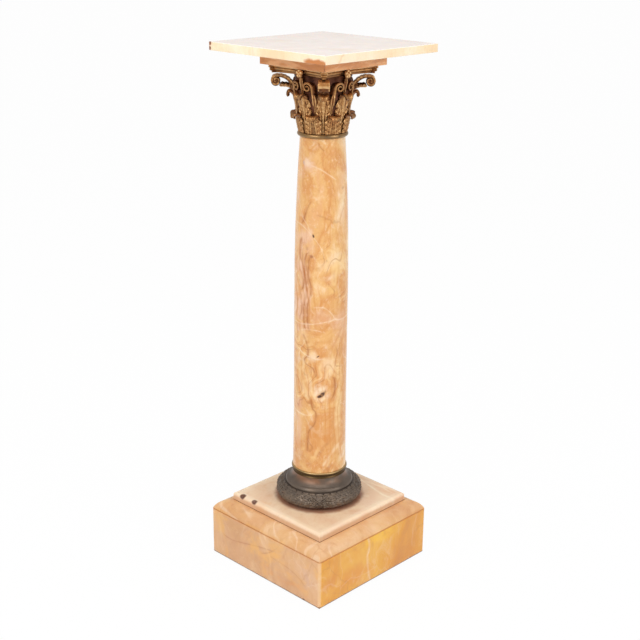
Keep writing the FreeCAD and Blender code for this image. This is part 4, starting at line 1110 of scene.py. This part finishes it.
def make_fleurons():
    """A five-petalled rosette with a round heart on each side of the abacus."""
    rings, columns = 20, 80
    share = np.linspace(0.02, 1, rings)[:, None]
    around = full_turn(columns)[None, :]
    petal = np.abs(np.cos(around * FLEURON_PETALS / 2)) ** 0.5
    reach = FLEURON_RADIUS * (0.8 + 0.2 * petal) * share
    dome = 4.4 * np.sqrt(np.clip(1 - (share / 0.36) ** 2, 0, 1))
    lip = 3.2 * np.sin(np.clip((share - 0.2) / 0.8, 0, 1) * math.pi) ** 0.8 * (0.35 + 0.65 * petal)
    out = np.maximum(dome + 1.0, lip + 0.8 * (1 - share))
    low, high = np.array(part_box("fleuron_1")) / MM
    middle, plane = (low[2] + high[2]) / 2 - FLEURON_DROP, low[0]
    front = np.stack([plane + 2.0 + out, reach * np.sin(around), middle + reach * np.cos(around)], -1)[::-1]
    back = np.stack([np.full(columns, plane), front[0, :, 1], front[0, :, 2]], -1)[None]
    relief = np.concatenate([[np.zeros(columns)], 0.15 + (out / 4.0)[::-1]]).clip(0, 1)
    add_bronzes("rosette", [loft(np.concatenate([back, front]), relief)], "fleuron", SIDES)


# ---------------------------------------------------------------- abacus

HORN_RADIUS = 103.8
HORN_HALF_WIDTH = 7.0
WAIST = 61.0
ABACUS_SECTION = [(30.0, 0.0), (10.0, 0.0), (6.4, 0.0), (6.0, 0.5), (6.0, 2.9), (5.4, 3.6), (4.0, 4.0),
                  (3.0, 4.4), (2.2, 5.4), (1.9, 6.7), (2.2, 8.0), (2.9, 9.1), (3.6, 9.5), (1.4, 9.7),
                  (0.4, 10.2), (0.0, 10.9), (0.0, 12.0), (0.5, 12.3), (0.5, 12.7), (0.0, 13.0), (0.0, 13.9),
                  (0.3, 14.3), (0.8, 14.5), (10.0, 14.5), (30.0, 14.5)]


def abacus_ring(inset, up, arc_steps=56, end_steps=5):
    """One ring of the abacus: four hollow sides between horns with flat ends."""
    radius = HORN_RADIUS - inset
    half = max(HORN_HALF_WIDTH - inset * 0.45, 1.2)
    horn = np.array([(radius - half) * DIAGONAL, (radius + half) * DIAGONAL])
    waist = WAIST - inset
    rise = horn[0] - waist
    sweep = (horn[1] ** 2 + rise ** 2) / (2 * rise)
    limit = math.asin(min(1.0, horn[1] / sweep))
    turns = np.linspace(-limit, limit, arc_steps)
    side = np.column_stack([waist + sweep * (1 - np.cos(turns)), sweep * np.sin(turns),
                            np.full(arc_steps, up)])
    end = np.linspace(side[-1], turn(side, 90.0)[0], end_steps + 2)[1:-1]
    quarter = np.concatenate([side, end])
    return np.concatenate([turn(quarter, angle) for angle in SIDES])


def make_abacus():
    foot = foot_of("abacus")
    rings = [abacus_ring(inset, foot + up) for inset, up in ABACUS_SECTION]
    relief = [0.85 if inset < 0.45 else 0.65 if inset < 2.5 else 0.45 for inset, _ in ABACUS_SECTION]
    part = loft(rings, np.repeat(relief, len(rings[0])))
    add_piece("moulded_abacus", [part], bronze, ["abacus"])


# ---------------------------------------------------------------- foot

TORUS_COLUMNS = 720
TORUS_HEIGHT = 34.5
TORUS_ROWS = 72
LAUREL_LENGTH = 26.0
LAUREL_WIDTH = 14.0
LAUREL_ROWS = [(-19.0, 0.0), (-9.0, 0.5), (1.0, 0.0), (11.0, 0.5), (20.5, 0.0)]
LAUREL_PER_QUARTER = 4
LAUREL_DEPTH = 4.4
CASTING_WEAR = 0.22
TIE_HALF = 8.0
RIBBON_REACH = 15.0
RIBBON_SLOPE = 0.8
RIBBON_HALF = 1.4
BERRY_RADIUS = 2.8
BERRIES = [(17.0, 4.0), (21.0, 9.0), (22.5, 2.0), (-17.0, 4.0), (-21.0, 9.0), (-22.5, 2.0)]


def off_angle(around, middle):
    return (around - middle + math.pi) % (2 * math.pi) - math.pi


def laurel_relief(around, section, ring_radius):
    """Height of the laurel over the torus, 0 to 1: overlapping leaves, berries and crossed ribbons.

    Around is the angle of each point, and section its distance up the torus's round.
    """
    relief = np.zeros(around.shape)
    for quarter in range(4):
        tie = (quarter + 0.5) * math.pi / 2
        for row, (level, shift) in enumerate(LAUREL_ROWS):
            for number in range(LAUREL_PER_QUARTER + 1):
                middle = tie + ((number + 0.5 * shift + 0.2) / LAUREL_PER_QUARTER) * math.pi / 4
                for side in (1, -1):
                    off = off_angle(around, tie + side * (middle - tie)) * side * ring_radius
                    relief = np.maximum(relief, laurel_leaf(off, section - level, 1 if row % 2 else -1))
        off = off_angle(around, tie) * ring_radius
        relief = np.where(np.abs(off) < TIE_HALF, relief * 0.6, relief)
        near = np.abs(off) < RIBBON_REACH
        for slope in (RIBBON_SLOPE, -RIBBON_SLOPE):
            away = np.abs(section - 2.0 - slope * off) / math.hypot(1, slope)
            band = near * np.clip(1 - (away / RIBBON_HALF) ** 4, 0, 1)
            rim = near * (away > RIBBON_HALF) * (away < RIBBON_HALF + 1.0)
            relief = np.where(rim, relief * 0.6, np.maximum(relief, band * 1.5))
        for berry in BERRIES:
            away = np.hypot(off - berry[0], section - berry[1]) / BERRY_RADIUS
            relief = np.where(away < 1, 0.7 + 1.6 * np.sqrt(np.clip(1 - away ** 2, 0, 1)), relief)
    rough = np.array([noise.noise(Vector((a * ring_radius * 0.22, b * 0.25, 9.1)))
                      for a, b in zip(around, section)])
    return np.clip(relief / 2.2 + CASTING_WEAR * rough, 0, 1)


def laurel_leaf(along, sideways, tilt_side):
    """One leaf's height: it rises towards its tip, which overlaps the next leaf, and has a sunk midrib."""
    share = along / LAUREL_LENGTH + 0.5
    side = (sideways - 0.14 * tilt_side * along) / LAUREL_WIDTH * 2
    inside = (share > 0) & (share < 1)
    limit = np.where(inside, np.sin(math.pi * np.clip(share, 0, 1) ** 0.85) ** 0.8, 0)
    dome = np.clip(1 - (side / np.maximum(limit, 1e-3)) ** 2, 0, 1)
    rib = 0.5 * np.exp(-(side / 0.1) ** 2)
    veins = 0.12 * np.abs(np.sin(share * 16 + np.abs(side) * 5))
    return np.where(dome > 0, 0.3 + 0.9 * share + 1.0 * np.sqrt(dome) - rib - veins, 0)


def crevices(relief, reach=4):
    """How each point of a grid stands against its neighbours: 0 deep in a crevice, 1 on a crest."""
    around = sum(np.roll(relief, (row, column), (0, 1)) for row in range(-reach, reach + 1)
                 for column in range(-reach, reach + 1)) / (2 * reach + 1) ** 2
    return np.clip(0.52 + 1.7 * (relief - around), 0, 1)


def make_foot():
    """The foot: laurel torus, groove, shoulder and scotia, turned on one axis."""
    outer, low, _ = extent("foot_casting")
    round_radius = TORUS_HEIGHT / 2
    around = full_turn(TORUS_COLUMNS)
    rings, reliefs = [], []
    for t in np.linspace(-math.pi / 2, math.pi / 2, TORUS_ROWS):
        relief = laurel_relief(around, np.full(TORUS_COLUMNS, t * round_radius), outer - 4)
        fade = min(1.0, (math.pi / 2 - abs(t)) / 0.2)
        depth = round_radius - LAUREL_DEPTH * (1 - relief) * fade
        rings.append(ring_at(outer - round_radius + depth * math.cos(t), around,
                             low + round_radius + depth * math.sin(t)))
        reliefs.append(relief)
    reliefs = list(crevices(np.array(reliefs)))
    torus_top = low + TORUS_HEIGHT
    for up, radius in turned_profile("foot_casting", 50.0):
        if up >= torus_top - 0.01:
            rings.append(ring_at(radius, around, up))
            reliefs.append(np.full(TORUS_COLUMNS, 0.28 if up < torus_top + 2.5 else 1.0))
    part = loft(rings, np.array(reliefs))
    add_piece("laurel_foot", [part], make_dark_bronze(), ["foot_casting"], sharp=40.0)


# ---------------------------------------------------------------- CAD nodes that stay


def dress_nodes():
    """Plain turned and hidden parts keep their own shape and take a finish."""
    crest = head_of("shaft_ring")
    # The ring's crest colour is a painted highlight along the top of its bead.
    ring = make_band_bronze("ring_brass", (88, 68, 44), (96, 74, 46), (200, 166, 116),
                            (crest - 2.6, crest - 1.6))
    foot = foot_of("capital_astragal")
    astragal = make_band_bronze("astragal_bronze", (112, 92, 70), (158, 124, 82), (172, 138, 94),
                                (foot + 5.0, foot + 7.0))
    dressed = {ring: ["shaft_ring", "pivot_bush"], astragal: ["capital_astragal"],
               bronze: ["abacus_screws", "ornament_rivets"], make_bell_bronze(): ["capital_bell"],
               make_iron(): ["tie_rod", "top_nut", "foot_nut", "top_washer", "foot_washer"],
               make_leather(): ["glide_washer"]}
    for material, names in dressed.items():
        for name in names:
            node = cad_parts[name]
            node.data.materials.clear()
            node.data.materials.append(material)


# ---------------------------------------------------------------- studio

FLOOR_REACH = 30.0
FLOOR_GLOW = 0.97
WORLD_LIGHT = 0.55
WHITE = (1, 1, 1, 1)
LAMP_AIM = (0, 0, 0.55)
# name, place, size and power of each lamp
LAMPS = [("key", (0.2, -2.6, 2.0), (1.4, 1.8), 31), ("fill", (2.7, 0.4, 1.6), (1.4, 1.8), 23),
         ("overhead", (0.3, -0.3, 3.0), (1.8, 1.8), 24)]
CAMERA_PLACE = (1.5851, -1.6300, 1.3286)
CAMERA_LENS = 66.62
CAMERA_SENSOR = 36.0
CAMERA_HEADING, CAMERA_DIP, CAMERA_ROLL = 44.238, 19.22, 0.586


def link_object(name, data):
    made = bpy.data.objects.new(name, data)
    bpy.context.scene.collection.objects.link(made)
    return made


def make_floor():
    """A wide pale floor: white to the camera, but for the soft shadow."""
    finish = Finish("floor_white", roughness=0.9)
    finish.colour(finish.mix(finish.noise(3.0), (246, 246, 246), (250, 250, 250)))
    glow = finish.node("ShaderNodeEmission", {"Color": WHITE, "Strength": 1.0}).outputs[0]
    seen = finish.seen_by("Is Camera Ray", "Is Glossy Ray", "Is Transmission Ray")
    finish.show(finish.math("MULTIPLY", seen, FLOOR_GLOW), finish.shader.outputs[0], glow)
    mesh = bpy.data.meshes.new("floor")
    square = [(-1, -1), (1, -1), (1, 1), (-1, 1)]
    mesh.from_pydata([(FLOOR_REACH * x, FLOOR_REACH * y, 0) for x, y in square], [], [(0, 1, 2, 3)])
    mesh.materials.append(finish.material)
    floor = link_object("floor", mesh)


def make_world():
    """Plain soft light, that shows as white where the camera looks past the floor."""
    world = bpy.data.worlds.new("studio")
    world.use_nodes = True
    nodes = Nodes(world.node_tree)
    plain, white = (nodes.node("ShaderNodeBackground", {"Color": WHITE, "Strength": strength}).outputs[0]
                    for strength in (WORLD_LIGHT, 1.0))
    nodes.show(nodes.seen_by("Is Camera Ray", "Is Transmission Ray"), plain, white)
    bpy.context.scene.world = world


def make_lamps():
    for name, place, size, power in LAMPS:
        data = bpy.data.lights.new(name, "AREA")
        data.shape = "RECTANGLE"
        data.size, data.size_y = size
        data.energy = power
        lamp = link_object(name, data)
        lamp.location = place
        lamp.rotation_euler = (Vector(LAMP_AIM) - Vector(place)).to_track_quat("-Z", "Y").to_euler()


def make_camera():
    data = bpy.data.cameras.new("camera")
    data.lens = CAMERA_LENS
    data.sensor_width = CAMERA_SENSOR
    camera = link_object("camera", data)
    placed = Matrix.Translation(CAMERA_PLACE)
    for angle, axis in ((CAMERA_HEADING, "Z"), (90 - CAMERA_DIP, "X"), (CAMERA_ROLL, "Z")):
        placed = placed @ Matrix.Rotation(math.radians(angle), 4, axis)
    camera.matrix_world = placed
    bpy.context.scene.camera = camera


make_camera()
make_world()
make_lamps()
make_floor()
bronze = make_gilt_bronze()
for make in (make_top, make_neck, make_plate, make_block, make_shaft, make_leaves, make_volutes,
             make_helices, make_fleurons, make_abacus, make_foot, dress_nodes):
    make()

bpy.context.scene.view_settings.view_transform = "Standard"
